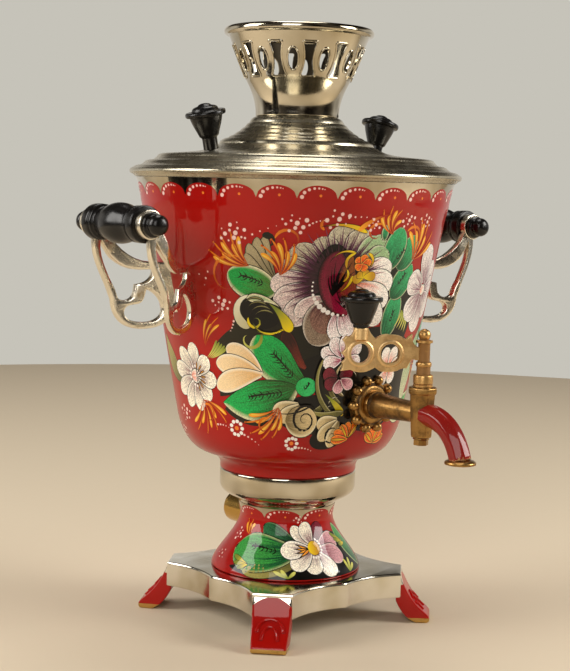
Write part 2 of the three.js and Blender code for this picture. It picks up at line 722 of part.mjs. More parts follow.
function inCorner(solid, sideX, sideY) {
  // From the rear right corner to any of the four.
  let placed = solid;
  if (sideX < 0) placed = placed.mirror([1, 0, 0]);
  if (sideY < 0) placed = placed.mirror([0, 1, 0]);
  return placed;
}

function wallAlongArm(drop, depth) {
  // Distance from the bend to the body wall, at a drop below the grip axis and a depth into it.
  const radius = radiusAt(WALL_LINE, GRIP_Z - drop) - depth;
  const along = -(armBendX * armDirection.x + EYE_Y * armDirection.y);
  const across = armBendX * armDirection.y - EYE_Y * armDirection.x;
  return along - Math.sqrt(radius ** 2 - across ** 2);
}

function armRod(radius, from, to, drop) {
  // A rod along the closing part of the rear right arm, distances from the bend.
  return rod(radius, from, to, ROUND_SMALL).rotate([0, 90, 0]).rotate([0, 0, ARM_TURN])
    .translate([armBendX, EYE_Y, GRIP_Z - drop]);
}

let shell = sheet(BODY_LINE, SHEET, ROUND_LARGE);
shell = shell.subtract(towardsTap(drill(TAP_THREAD_R + FIT, tailY, valveY, ROUND_MIDDLE)));
for (const side of [-1, 1]) {
  const hole = drill(HEATER_TUBE_R + FIT, FLOOR_Z - 1, FLOOR_Z + SHEET + 1, ROUND_SMALL);
  shell = shell.subtract(hole.translate([side * HEATER_LEG_X, HEATER_LEG_Y, 0]));
}

const CORNERS = [
  ['left_front', -1, -1],
  ['left_rear', -1, 1],
  ['right_front', 1, -1],
  ['right_rear', 1, 1],
];
for (const [, sideX, sideY] of CORNERS) {
  for (const drop of ARM_SCREW_DROPS) {
    const wall = wallAlongArm(drop, 0);
    const hole = armRod(ARM_SCREW_R + FIT, wall - THROUGH, wall + SHEET + THROUGH, drop);
    shell = shell.subtract(inCorner(hole, sideX, sideY));
  }
}
samovar.add(named('body_shell', shell, 'enamel'));

// Handle arms: a flat fretwork casting with an eye for the grip's rod
function armShape() {
  // Points are (distance from the grip axis towards the body, height over the grip axis).
  const shape = traced(new THREE.Shape(), ARM_HEIGHT, [
    [-0.018, -0.13],
    [-0.028, -0.38, 0.137, -0.53, 0.19, -0.72],
    [0.2, -0.9, 0.287, -0.996, 0.424, -1],
    [0.574, -1, 0.656, -0.94, 0.704, -0.84],
    [0.824, -0.84],
    [0.824, -0.365],
    [0.493, -0.365],
    [0.328, -0.365, 0.185, -0.19, 0.109, -0.051],
  ]);
  const window = traced(new THREE.Path(), ARM_HEIGHT, [
    [0.063, -0.174],
    [0.038, -0.37, 0.199, -0.53, 0.232, -0.684],
    [0.232, -0.753, 0.37, -0.756, 0.378, -0.647],
    [0.385, -0.58],
    [0.493, -0.566, 0.524, -0.515, 0.526, -0.438],
    [0.41, -0.444],
    [0.219, -0.447, 0.116, -0.257, 0.063, -0.174],
  ]);
  const loop = traced(new THREE.Path(), ARM_HEIGHT, [
    [0.291, -0.846],
    [0.296, -0.78, 0.343, -0.774, 0.382, -0.769],
    [0.459, -0.762, 0.451, -0.7, 0.474, -0.626],
    [0.534, -0.635, 0.607, -0.713, 0.613, -0.801],
    [0.616, -0.89, 0.547, -0.932, 0.451, -0.934],
    [0.343, -0.935, 0.296, -0.903, 0.291, -0.846],
  ]);
  shape.holes.push(window, loop);
  return shape;
}

const gripEnd = EYE_Y - EYE_THICK / 2 - SEAT;

function rearRightArm() {
  // The fretwork, bent past the grip's collar towards the body's side, with its eye and bore.
  const options = { depth: ARM_THICK, bevelEnabled: false, curveSegments: 2 };
  const flat = new THREE.ExtrudeGeometry(armShape(), options);
  flat.translate(0, 0, -ARM_THICK / 2).rotateX(Math.PI / 2);
  const place = flat.attributes.position;
  const slope = (EYE_Y - ARM_FOOT_Y) / (armBendX - armFootX);
  for (let i = 0; i < place.count; i += 1) {
    const past = Math.max(place.getX(i) - ARM_BEND, 0);
    place.setXYZ(i, GRIP_X - place.getX(i), EYE_Y - place.getY(i) - slope * past, GRIP_Z + place.getZ(i));
  }
  const eyeAt = [GRIP_X, 0, GRIP_Z];
  const collarRelief = alongY(rod(GRIP_COLLAR_R + ARM_RELIEF, 0, gripEnd + SEAT, ROUND_MIDDLE), 0);
  const eye = alongY(rod(EYE_R, -EYE_THICK / 2, EYE_THICK / 2, ROUND_MIDDLE), EYE_Y);
  const bore = alongY(drill(ROD_R + FIT, -EYE_THICK, EYE_THICK, ROUND_SMALL), EYE_Y);
  return toSolid(flat).subtract(collarRelief.translate(eyeAt)).add(eye.translate(eyeAt))
    .subtract(bore.translate(eyeAt)).subtract(BODY_KEEPOUT);
}

function armScrew(drop) {
  // A round-headed screw from inside the body into the arm's foot.
  const tip = wallAlongArm(drop, 0) - ARM_SCREW_GRIP;
  const seat = wallAlongArm(drop, SHEET) + ARM_SCREW_STAND;
  const shank = armRod(ARM_SCREW_R, tip, seat + ARM_SCREW_HEAD / 2, drop);
  return shank.add(armRod(ARM_SCREW_HEAD_R, seat, seat + ARM_SCREW_HEAD, drop));
}

let boredArm = rearRightArm();
for (const drop of ARM_SCREW_DROPS) {
  const wall = wallAlongArm(drop, 0);
  const bottom = wall - ARM_SCREW_GRIP - SEAT;
  boredArm = boredArm.subtract(armRod(ARM_SCREW_R + FIT, bottom, wall + THROUGH, drop));
}
for (const [word, sideX, sideY] of CORNERS) {
  samovar.add(named(`handle_arm_${word}`, inCorner(boredArm, sideX, sideY), 'brass'));
  ARM_SCREW_DROPS.forEach((drop, i) => {
    const screw = inCorner(armScrew(drop), sideX, sideY);
    samovar.add(named(`arm_screw_${word}_${i + 1}`, screw, 'brass'));
  });
}

// Grips: a turned handle on a threaded rod, with a cap nut outside each arm
function gripOutline() {
  const half = new THREE.Path();
  half.moveTo(GRIP_BULGE_R, 0);
  half.bezierCurveTo(GRIP_BULGE_R, GRIP_NECK_Y / 2, GRIP_NECK_R, GRIP_NECK_Y * 2 / 3,
    GRIP_NECK_R, GRIP_NECK_Y);
  half.quadraticCurveTo(GRIP_NECK_R, (GRIP_NECK_Y + GRIP_COLLAR_Y) / 2,
    GRIP_COLLAR_R, GRIP_COLLAR_Y);
  half.lineTo(GRIP_COLLAR_R, gripEnd - GRIP_EDGE);
  half.lineTo(GRIP_COLLAR_R - GRIP_EDGE, gripEnd);
  const upper = samples(half, 2);
  const lower = upper.slice(1).map(([r, y]) => [r, -y]).reverse();
  const bore = ROD_R + FIT;
  return [[bore, -gripEnd], ...lower, ...upper, [bore, gripEnd]];
}

function gripCap() {
  // Cap nut with a ball end; its flat face stands on the arm's eye.
  const bore = ROD_R + FIT;
  const centre = CAP_LENGTH - CAP_R;
  const path = new THREE.Path();
  path.moveTo(bore, 0);
  path.lineTo(CAP_FLANGE_R, 0);
  path.lineTo(CAP_FLANGE_R, CAP_FLANGE_THICK);
  path.lineTo(CAP_R, centre);
  path.absarc(0, centre, CAP_R, 0, Math.PI / 2, false);
  path.lineTo(0, CAP_BORE_DEPTH);
  path.lineTo(bore, CAP_BORE_DEPTH);
  return turned(samples(path, 2), ROUND_MIDDLE);
}

const capFace = EYE_Y + EYE_THICK / 2 + SEAT;
const rodEnd = capFace + CAP_BORE_DEPTH - SEAT;
for (const [word, sideX] of [['left', -1], ['right', 1]]) {
  const at = [sideX * GRIP_X, 0, GRIP_Z];
  const grip = alongY(turned(gripOutline(), ROUND_MIDDLE), 0);
  samovar.add(named(`handle_grip_${word}`, grip.translate(at), 'black'));
  const tie = alongY(rod(ROD_R, -rodEnd, rodEnd, ROUND_SMALL), 0);
  samovar.add(named(`grip_rod_${word}`, tie.translate(at), 'steel'));
  const rear = alongY(gripCap(), capFace);
  samovar.add(named(`grip_cap_${word}_rear`, rear.translate(at), 'black'));
  samovar.add(named(`grip_cap_${word}_front`, rear.mirror([0, 1, 0]).translate(at), 'black'));
}

// Tap: rosette, cast tap, gasket and nut inside the body

function rosette() {
  const face = rosetteFace;
  const root = tapWall - ROSETTE_DEPTH;
  let solid = rod(ROSETTE_R, root, face, ROUND_MIDDLE);
  for (let i = 0; i < BEAD_COUNT; i += 1) {
    const angle = (i / BEAD_COUNT) * 2 * Math.PI;
    const bead = turned([
      [0, root],
      [BEAD_R, root],
      [BEAD_R, face - BEAD_CROWN / 3],
      [BEAD_R * 2 / 3, face + BEAD_CROWN * 2 / 3],
      [0, face + BEAD_CROWN],
    ], BEAD_SIDES);
    solid = solid.add(bead.translate([BEAD_RING_R * Math.cos(angle), BEAD_RING_R * Math.sin(angle), 0]));
  }
  solid = solid.subtract(drill(TAP_THREAD_R + FIT, 0, face + BEAD_R, ROUND_MIDDLE));
  return solid.rotate([90, 0, 0]).translate([0, 0, TAP_Z]).subtract(BODY_KEEPOUT);
}

samovar.add(named('tap_rosette', rosette(), 'bronze'));

const gasketBlank = ring(TAP_THREAD_R + FIT, GASKET_R, gasketFace, valveY, ROUND_SMALL);
samovar.add(named('tap_gasket', towardsTap(gasketBlank).intersect(BODY_CAVITY_CLEAR), 'rubber'));
const backNutTop = gasketFace - SEAT;
const backNut = hexNut(BACK_NUT_ACROSS, TAP_THREAD_R + FIT, backNutTop - BACK_NUT_HEIGHT, backNutTop);
samovar.add(named('tap_back_nut', towardsTap(backNut), 'bronze'));

const spoutCurve = new THREE.CubicBezierCurve3(
  new THREE.Vector3(0, -valveY, TAP_Z),
  new THREE.Vector3(0, -valveY - SPOUT_REACH / 2, TAP_Z),
  new THREE.Vector3(0, -valveY - SPOUT_REACH + SPOUT_DROP_LEAN, TAP_Z - SPOUT_R),
  new THREE.Vector3(0, -valveY - SPOUT_REACH, MOUTH_Z - 1),
);

function tapBody() {
  const seatY = rosetteFace + SEAT;
  const pipe = towardsTap(turned([
    [0, tailY],
    [TAP_THREAD_R, tailY],
    [TAP_THREAD_R, seatY],
    [TAP_FLANGE_R, seatY],
    [TAP_FLANGE_R, seatY + TAP_FLANGE_THICK],
    [PIPE_ROOT_R, seatY + TAP_FLANGE_THICK],
    [PIPE_END_R, valveY],
    [0, valveY],
  ], ROUND_MIDDLE));
  const valve = [0, -valveY, 0];
  const barrel = turned([
    [0, BARREL_BOTTOM_Z],
    [BARREL_BOTTOM_R, BARREL_BOTTOM_Z],
    [BARREL_TOP_R - BARREL_RIM_STEP, BARREL_TOP_Z - BARREL_RIM_HEIGHT - BARREL_RIM_STEP],
    [BARREL_TOP_R, BARREL_TOP_Z - BARREL_RIM_HEIGHT],
    [BARREL_TOP_R, BARREL_TOP_Z],
    [0, BARREL_TOP_Z],
  ], BARREL_SIDES).rotate([0, 0, 180 / BARREL_SIDES]).translate(valve);
  const below = block(2 * MOUTH_R, 2 * SPOUT_REACH, SPOUT_REACH, 0, -valveY - SPOUT_REACH,
    MOUTH_Z + MOUTH_THICK / 2 - SPOUT_REACH / 2);
  const nose = swept(SPOUT_R, BARREL_SIDES, spoutCurve, SPOUT_STEPS).subtract(below);
  const mouthAt = [0, -valveY - SPOUT_REACH, 0];
  const mouth = turned([
    [0, MOUTH_Z],
    [MOUTH_R, MOUTH_Z],
    [MOUTH_R, MOUTH_Z + MOUTH_THICK / 2],
    [SPOUT_R, MOUTH_Z + MOUTH_THICK],
    [0, MOUTH_Z + MOUTH_THICK],
  ], ROUND_MIDDLE).translate(mouthAt);

  let solid = pipe.add(barrel).add(nose).add(mouth);
  solid = solid.subtract(swept(SPOUT_BORE_R, ROUND_SMALL, spoutCurve, SPOUT_STEPS));
  solid = solid.subtract(towardsTap(rod(WATERWAY_R, tailY - 1, valveY, ROUND_SMALL)));
  const plugBore = turned([
    [0, BARREL_BOTTOM_Z - 1],
    [PLUG_BOTTOM_R + FIT, BARREL_BOTTOM_Z - 1],
    [PLUG_TOP_R + FIT, BARREL_TOP_Z + 1],
    [0, BARREL_TOP_Z + 1],
  ], ROUND_MIDDLE);
  return solid.subtract(plugBore.translate(valve));
}

samovar.add(named('tap_body', tapBody(), 'bronze'));

// Tap plug with its turned stem, washer and nut; all of them turn with the key
const tapKey = new THREE.Group();
tapKey.position.set(0, -valveY, 0);
samovar.add(tapKey);

function tapPlug() {
  const base = BARREL_TOP_Z;
  const washerLow = BARREL_BOTTOM_Z - SEAT - WASHER_THICK;
  const tailEnd = washerLow - SEAT - PLUG_NUT_HEIGHT;
  const discTop = base + STEM_UPPER_TOP + STEM_DISC_THICK;
  const finialCentre = discTop + FINIAL_R * Math.sin(Math.PI / 3);
  const path = new THREE.Path();
  path.moveTo(0, tailEnd);
  path.lineTo(PLUG_TAIL_R, tailEnd);
  path.lineTo(PLUG_TAIL_R, BARREL_BOTTOM_Z);
  path.lineTo(PLUG_BOTTOM_R, BARREL_BOTTOM_Z);
  path.lineTo(PLUG_TOP_R, base + SEAT);
  path.lineTo(STEM_RING_R, base + SEAT);
  path.lineTo(STEM_RING_R, base + STEM_RING_TOP - STEM_EDGE);
  path.lineTo(STEM_RING_R - STEM_EDGE, base + STEM_RING_TOP);
  path.lineTo(STEM_LOWER_R, base + STEM_RING_TOP);
  path.lineTo(STEM_LOWER_R, base + STEM_LOWER_TOP);
  path.lineTo(STEM_BAND_R, base + STEM_LOWER_TOP);
  path.lineTo(STEM_BAND_R, base + STEM_BAND_TOP);
  path.lineTo(STEM_UPPER_R, base + STEM_BAND_TOP);
  path.lineTo(STEM_UPPER_R, base + STEM_UPPER_TOP);
  path.lineTo(STEM_DISC_R, base + STEM_UPPER_TOP);
  path.lineTo(STEM_DISC_R, discTop);
  path.absarc(0, finialCentre, FINIAL_R, -Math.PI / 3, Math.PI / 2, false);
  let solid = turned(samples(path, 2), ROUND_MIDDLE);
  const waterway = rod(PLUG_WATERWAY_R, -STEM_RING_R, STEM_RING_R, ROUND_SMALL);
  solid = solid.subtract(waterway.rotate([0, 90, 0]).translate([0, 0, TAP_Z]));
  const slot = block(STEM_UPPER_R * 2, KEY_TONGUE_THICK + 2 * SEAT, KEY_TONGUE + 2 * SEAT,
    STEM_UPPER_R, 0, base + KEY_RISE);
  return solid.subtract(slot.rotate([0, 0, KEY_ANGLE]));
}

tapKey.add(named('tap_plug', tapPlug(), 'bronze'));

const washerTop = BARREL_BOTTOM_Z - SEAT;
const washerBottom = washerTop - WASHER_THICK;
const tailBore = PLUG_TAIL_R + FIT;
const washer = ring(tailBore, WASHER_R, washerBottom, washerTop, ROUND_SMALL);
tapKey.add(named('plug_washer', washer, 'bronze'));
const plugNutTop = washerBottom - SEAT;
const plugNut = hexNut(PLUG_NUT_ACROSS, tailBore, plugNutTop - PLUG_NUT_HEIGHT, plugNutTop);
tapKey.add(named('plug_nut', plugNut, 'bronze'));

// Key: a flat fretwork plate with two rings, in its own frame along +X from the plug axis
function keyShape() {
  const near = STEM_UPPER_R + SEAT;
  const [n, f, high] = [KEY_RING_NEAR, KEY_RING_FAR, KEY_HALF_HEIGHT];
  const top = KEY_LUG_RISE;
  return traced(new THREE.Shape(), 1, [
    [near, -0.35 * high],
    [0.37 * n, -0.3 * high],
    [0.51 * n, -0.79 * high],
    [0.65 * n, -0.75 * high, 0.77 * n, -0.91 * high],
    [n, -1.05 * high, n + KEY_HOLE_R, -0.95 * high],
    [(n + f) / 2, -0.75 * high],
    [f - KEY_HOLE_R, -0.91 * high],
    [f, -1.14 * high, f + KEY_HOLE_R, -0.88 * high],
    [f + KEY_TAIL, -0.95 * high],
    [f + 0.78 * KEY_TAIL, -0.61 * high, f + 0.97 * KEY_TAIL, -0.49 * high],
    [f + 0.56 * KEY_TAIL, -0.26 * high, f + KEY_TAIL, 0],
    [f + 0.56 * KEY_TAIL, 0.26 * high, f + 0.92 * KEY_TAIL, 0.7 * high],
    [f + 0.74 * KEY_TAIL, 0.93 * high],
    [f + KEY_HOLE_R, 0.79 * high, f + LUG_R, top - 2],
    [f + LUG_R, top],
    [f - LUG_R, top],
    [f - KEY_HOLE_R, high, (n + f) / 2, 0.79 * high],
    [n + 0.7 * KEY_HOLE_R, 1.12 * high, n, high],
    [n - KEY_HOLE_R, 1.05 * high, 0.56 * n, 0.75 * high],
    [0.37 * n, 1.05 * high],
    [0.4 * n, 0.53 * high, near, 0.35 * high],
  ]);
}

const tongueLength = STEM_UPPER_R - SEAT;

function keyPlate() {
  let solid = plate(keyShape(), KEY_THICK, 2);
  const tongueMiddle = STEM_UPPER_R + SEAT + 1 - tongueLength / 2;
  solid = solid.add(block(tongueLength + 2, KEY_TONGUE_THICK, KEY_TONGUE, tongueMiddle, 0, 0));
  for (const along of [KEY_RING_NEAR, KEY_RING_FAR]) {
    const half = KEY_RING_THICK / 2;
    const at = [along, 0, 0];
    const rim = alongY(rod(KEY_RING_R, -half, half, ROUND_MIDDLE), 0).translate(at);
    solid = solid.add(rim);
  }
  for (const along of [KEY_RING_NEAR, KEY_RING_FAR]) {
    const hole = alongY(rod(KEY_HOLE_R, -KEY_RING_THICK, KEY_RING_THICK, ROUND_MIDDLE), 0);
    solid = solid.subtract(hole.translate([along, 0, 0]));
  }
  const seat = rod(LUG_R, KEY_LUG_RISE - LUG_HEIGHT, KEY_LUG_RISE, ROUND_SMALL);
  const pinHole = drill(KNOB_PIN_R + FIT, KEY_LUG_RISE - LUG_HEIGHT, KEY_LUG_RISE + 1, ROUND_SMALL);
  const lugAt = [KEY_RING_FAR, 0, 0];
  return solid.add(seat.translate(lugAt)).subtract(pinHole.translate(lugAt));
}

const keyArm = new THREE.Group();
keyArm.position.z = BARREL_TOP_Z + KEY_RISE;
keyArm.rotation.z = THREE.MathUtils.degToRad(KEY_ANGLE);
tapKey.add(keyArm);
keyArm.add(named('tap_key', keyPlate(), 'bronze'));

// Turned black knobs: a stem, a flared cone, a rim and a low cap, bored from below for a pin
function knob(stem) {
  const coneTop = stem + KNOB_CONE_HEIGHT;
  const rimTop = coneTop + KNOB_RIM_HEIGHT;
  const bore = KNOB_PIN_R + FIT;
  return turned([
    [bore, 0],
    [KNOB_STEM_R, 0],
    [KNOB_STEM_R, stem],
    [KNOB_CONE_FOOT_R, stem + KNOB_EDGE],
    [KNOB_CONE_TOP_R, coneTop],
    [KNOB_RIM_R - KNOB_EDGE / 2, coneTop],
    [KNOB_RIM_R, coneTop + KNOB_RIM_HEIGHT / 2],
    [KNOB_RIM_R - KNOB_EDGE / 2, rimTop - KNOB_EDGE / 2],
    [KNOB_CAP_R, rimTop - KNOB_EDGE / 2],
    [KNOB_CAP_R / 2, rimTop + KNOB_CAP_HEIGHT * 3 / 4],
    [0, rimTop + KNOB_CAP_HEIGHT],
    [0, KNOB_PIN_DEPTH + SEAT],
    [bore, KNOB_PIN_DEPTH + SEAT],
  ], ROUND_MIDDLE);
}

const keyKnob = knob(KEY_KNOB_STEM).translate([KEY_RING_FAR, 0, KEY_LUG_RISE + SEAT]);
keyArm.add(named('key_knob', keyKnob, 'black'));
const keyPinLow = KEY_LUG_RISE - LUG_HEIGHT + SEAT;
const keyPin = rod(KNOB_PIN_R, keyPinLow, KEY_LUG_RISE + KNOB_PIN_DEPTH, ROUND_SMALL);
keyArm.add(named('key_knob_pin', keyPin.translate([KEY_RING_FAR, 0, 0]), 'steel'));

// Lid: a stepped spun cover with a rim bead and a spigot inside the body's lip
const lidGroup = new THREE.Group();
lidGroup.position.z = LIP_Z;
samovar.add(lidGroup);

function lidTopLine() {
  // Upper face from the crown's seat out to the rim, heights over the lip.
  const from = (r, z, [right, up]) => [r + right, z + up];
  const path = new THREE.Path();
  path.moveTo(0, LID_SEAT_RISE);
  path.lineTo(LID_SEAT_R, LID_SEAT_RISE);
  path.quadraticCurveTo(...from(LID_SEAT_R, LID_SEAT_RISE, LID_CONE_BOW),
    ...from(LID_CREASE_R, LID_CREASE_RISE, LID_CREASE_LIP));
  path.lineTo(LID_CREASE_R, LID_CREASE_RISE);
  path.quadraticCurveTo(...from(LID_CREASE_R, LID_CREASE_RISE, LID_SLOPE_BOW),
    ...from(LID_KNOB_AT_R, LID_CREASE_RISE, LID_KNOB_SEAT));
  for (const step of LID_STEPS) {
    const points = step.map((value, i) => value + (i % 2 ? LID_RIM_DROP : LID_RIM_R));
    if (points.length === 2) path.lineTo(...points);
    else path.quadraticCurveTo(...points);
  }
  path.lineTo(LID_RIM_R - LID_BEAD_R / 2, LID_RIM_DROP + LID_BEAD_R);
  return samples(path, 2);
}

function lidSolid() {
  // The cover's outer face, its rolled rim, the spigot and the hollow underside.
  const top = lidTopLine();
  const spigotR = radiusAt(WALL_LINE, LIP_Z - LID_SPIGOT_DEPTH) - SHEET - LID_SPIGOT_SLACK;
  const under = offsetLine(top, -SHEET).filter(([r]) => r < spigotR - SHEET);
  return turned([
    ...thinned(top, OUTER_SLACK),
    [LID_RIM_R, LID_RIM_DROP],
    [LID_RIM_R - LID_BEAD_R / 2, LID_RIM_DROP - LID_BEAD_R],
    [LID_RIM_R - LID_BEAD_R, SEAT],
    [spigotR, SEAT],
    [spigotR, -LID_SPIGOT_DEPTH],
    [spigotR - SHEET, -LID_SPIGOT_DEPTH],
    [spigotR - SHEET, LID_RIM_DROP + 1],
    ...thinned(under, INNER_SLACK).reverse(),
  ], ROUND_LARGE);
}

const lidTop = lidTopLine();
const knobSeatZ = heightAt(lidTop.slice(2), LID_KNOB_AT_R);
let lid = lidSolid();
for (const side of [-1, 1]) {
  const pinHole = drill(KNOB_PIN_R + FIT, -THROUGH, THROUGH, ROUND_SMALL);
  const lean = [0, side * LID_KNOB_LEAN, 0];
  lid = lid.subtract(pinHole.rotate(lean).translate([side * LID_KNOB_AT_R, 0, knobSeatZ]));
}
lid = lid.subtract(drill(CROWN_SCREW_R + FIT, 0, LID_SEAT_RISE + 1, ROUND_SMALL));
lidGroup.add(named('lid', lid, 'nickel'));

for (const [side, word] of [[-1, 'left'], [1, 'right']]) {
  const seat = new THREE.Group();
  seat.position.set(side * LID_KNOB_AT_R, 0, knobSeatZ);
  seat.rotation.y = THREE.MathUtils.degToRad(side * LID_KNOB_LEAN);
  lidGroup.add(seat);
  const rise = SEAT + KNOB_FOOT_LIFT;
  seat.add(named(`lid_knob_${word}`, knob(LID_KNOB_STEM).translate([0, 0, rise]), 'black'));
  const under = -SHEET - SEAT - KNOB_FOOT_LIFT;
  const screw = turned([
    [0, under - PIN_HEAD_HEIGHT],
    [PIN_HEAD_R, under - PIN_HEAD_HEIGHT],
    [PIN_HEAD_R, under],
    [KNOB_PIN_R, under],
    [KNOB_PIN_R, rise + KNOB_PIN_DEPTH],
    [0, rise + KNOB_PIN_DEPTH],
  ], ROUND_SMALL);
  seat.add(named(`lid_knob_screw_${word}`, screw, 'steel'));
}

// Crown: a pierced flaring gallery with a rolled mouth, held to the lid by one screw
const crownGroup = new THREE.Group();
crownGroup.position.z = LID_SEAT_RISE + SEAT;
lidGroup.add(crownGroup);

function crownLine() {
  const path = new THREE.Path();
  path.moveTo(0, 0);
  path.lineTo(CROWN_FOOT_R, 0);
  path.quadraticCurveTo(CROWN_FOOT_R, CROWN_MID_RISE / 2, CROWN_MID_R, CROWN_MID_RISE);
  path.lineTo(CROWN_MOUTH_R, CROWN_HEIGHT - CROWN_BEAD_R);
  return samples(path, 3);
}

function hourglass() {
  // Two wide ends with clipped corners and sides that draw in to the waist.
  const shape = new THREE.Shape();
  const [end, high] = [HOURGLASS_END / 2, HOURGLASS_HEIGHT / 2];
  const pull = HOURGLASS_WAIST - end;
  shape.moveTo(-end + HOURGLASS_CLIP, -high);
  shape.lineTo(end - HOURGLASS_CLIP, -high);
  shape.lineTo(end, -high + HOURGLASS_CLIP);
  shape.quadraticCurveTo(pull, 0, end, high - HOURGLASS_CLIP);
  shape.lineTo(end - HOURGLASS_CLIP, high);
  shape.lineTo(-end + HOURGLASS_CLIP, high);
  shape.lineTo(-end, high - HOURGLASS_CLIP);
  shape.quadraticCurveTo(-pull, 0, -end, -high + HOURGLASS_CLIP);
  shape.closePath();
  return shape;
}

function oval() {
  const shape = new THREE.Shape();
  shape.absellipse(0, 0, OVAL_WIDTH / 2, OVAL_HEIGHT / 2, 0, 2 * Math.PI);
  return shape;
}

function crownSolid() {
  const line = crownLine();
  const [mouthR, mouthZ] = line[line.length - 1];
  let solid = sheet(line, SHEET, ROUND_CROWN);
  const phase = Math.PI / CROWN_BEAD_SIDES;
  const bead = roundShape(CROWN_BEAD_R / Math.cos(phase), CROWN_BEAD_SIDES, phase).getPoints()
    .map((corner) => [corner.x + mouthR - SHEET / 2, corner.y + mouthZ]);
  solid = solid.add(turned(bead, ROUND_CROWN)).rotate([0, 0, 180 / ROUND_CROWN]);
  const reach = CROWN_MOUTH_R;
  const cutters = [plate(hourglass(), reach, 2), plate(oval(), reach, 4)];
  cutters.forEach((cutter, kind) => {
    const blank = cutter.translate([0, -(reach + CROWN_FOOT_R) / 2, CROWN_HOLE_RISE]);
    for (let i = 0; i < CROWN_HOLES; i += 1) {
      solid = solid.subtract(blank.rotate([0, 0, (i + kind / 2) * 360 / CROWN_HOLES]));
    }
  });
  return solid.subtract(drill(CROWN_SCREW_R + FIT, -1, SHEET + 1, ROUND_SMALL));
}

crownGroup.add(named('crown', crownSolid(), 'nickel'));

const crownHeadLow = SHEET + SEAT;
const crownScrewTip = crownHeadLow - CROWN_SCREW_LENGTH;
crownGroup.add(named('crown_screw', turned([
  [0, crownScrewTip],
  [CROWN_SCREW_R, crownScrewTip],
  [CROWN_SCREW_R, crownHeadLow],
  [CROWN_SCREW_HEAD_R, crownHeadLow],
  [CROWN_SCREW_HEAD_R * 3 / 4, crownHeadLow + CROWN_SCREW_HEAD * 3 / 4],
  [0, crownHeadLow + CROWN_SCREW_HEAD],
], ROUND_SMALL), 'steel'));
const crownNutTop = -SEAT - SHEET - SEAT;
crownGroup.add(named('crown_nut', hexNut(CROWN_NUT_ACROSS, CROWN_SCREW_R + FIT,
  crownNutTop - CROWN_NUT_HEIGHT, crownNutTop), 'steel'));

// The origin is the middle of the footprint box on the table
samovar.updateMatrixWorld(true);
const reach = new THREE.Box3().setFromObject(samovar, true);
samovar.position.y = -(reach.min.y + reach.max.y) / 2;

export default samovar;
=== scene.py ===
"""A painted electric samovar: finishes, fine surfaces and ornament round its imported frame."""
import logging
import math
from dataclasses import dataclass, field
from enum import Enum
from typing import Callable, Iterable, Iterator, Sequence

import bmesh
import bpy
from mathutils import Matrix, Vector
from mathutils.geometry import interpolate_bezier


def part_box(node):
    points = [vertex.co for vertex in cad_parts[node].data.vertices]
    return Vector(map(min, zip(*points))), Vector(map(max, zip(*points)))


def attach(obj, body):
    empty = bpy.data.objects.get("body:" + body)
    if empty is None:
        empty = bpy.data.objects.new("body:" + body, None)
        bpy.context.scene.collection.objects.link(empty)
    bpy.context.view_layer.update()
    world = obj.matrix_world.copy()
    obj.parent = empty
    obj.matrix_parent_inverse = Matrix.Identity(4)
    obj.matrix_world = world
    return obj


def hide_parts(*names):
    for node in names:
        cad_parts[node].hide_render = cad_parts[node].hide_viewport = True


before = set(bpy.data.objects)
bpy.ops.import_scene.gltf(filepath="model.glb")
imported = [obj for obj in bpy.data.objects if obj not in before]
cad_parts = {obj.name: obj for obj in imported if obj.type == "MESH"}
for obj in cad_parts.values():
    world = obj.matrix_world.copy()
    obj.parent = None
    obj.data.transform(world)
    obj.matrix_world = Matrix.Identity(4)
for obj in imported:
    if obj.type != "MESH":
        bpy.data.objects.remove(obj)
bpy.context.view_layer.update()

LOG = logging.getLogger("samovar")
MM = 0.001
TURN = 2 * math.pi
AXIS_Y = (sum(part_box("body_shell"), Vector()) / 2 / MM).y

Point = tuple[float, float]
Outline = Sequence[Sequence[float]]
Mesh = bmesh.types.BMesh
Tree = bpy.types.NodeTree
Node = bpy.types.Node
Socket = bpy.types.NodeSocket


# Shape helpers


def polar(angle: float, centre: Sequence[float] = (0, 0), across: float = 1.0,
          up: float | None = None) -> Point:
    """Return a point of a circle or, with a second radius, of an ellipse, at an angle in radians."""
    rise = across if up is None else up
    return centre[0] + across * math.cos(angle), centre[1] + rise * math.sin(angle)


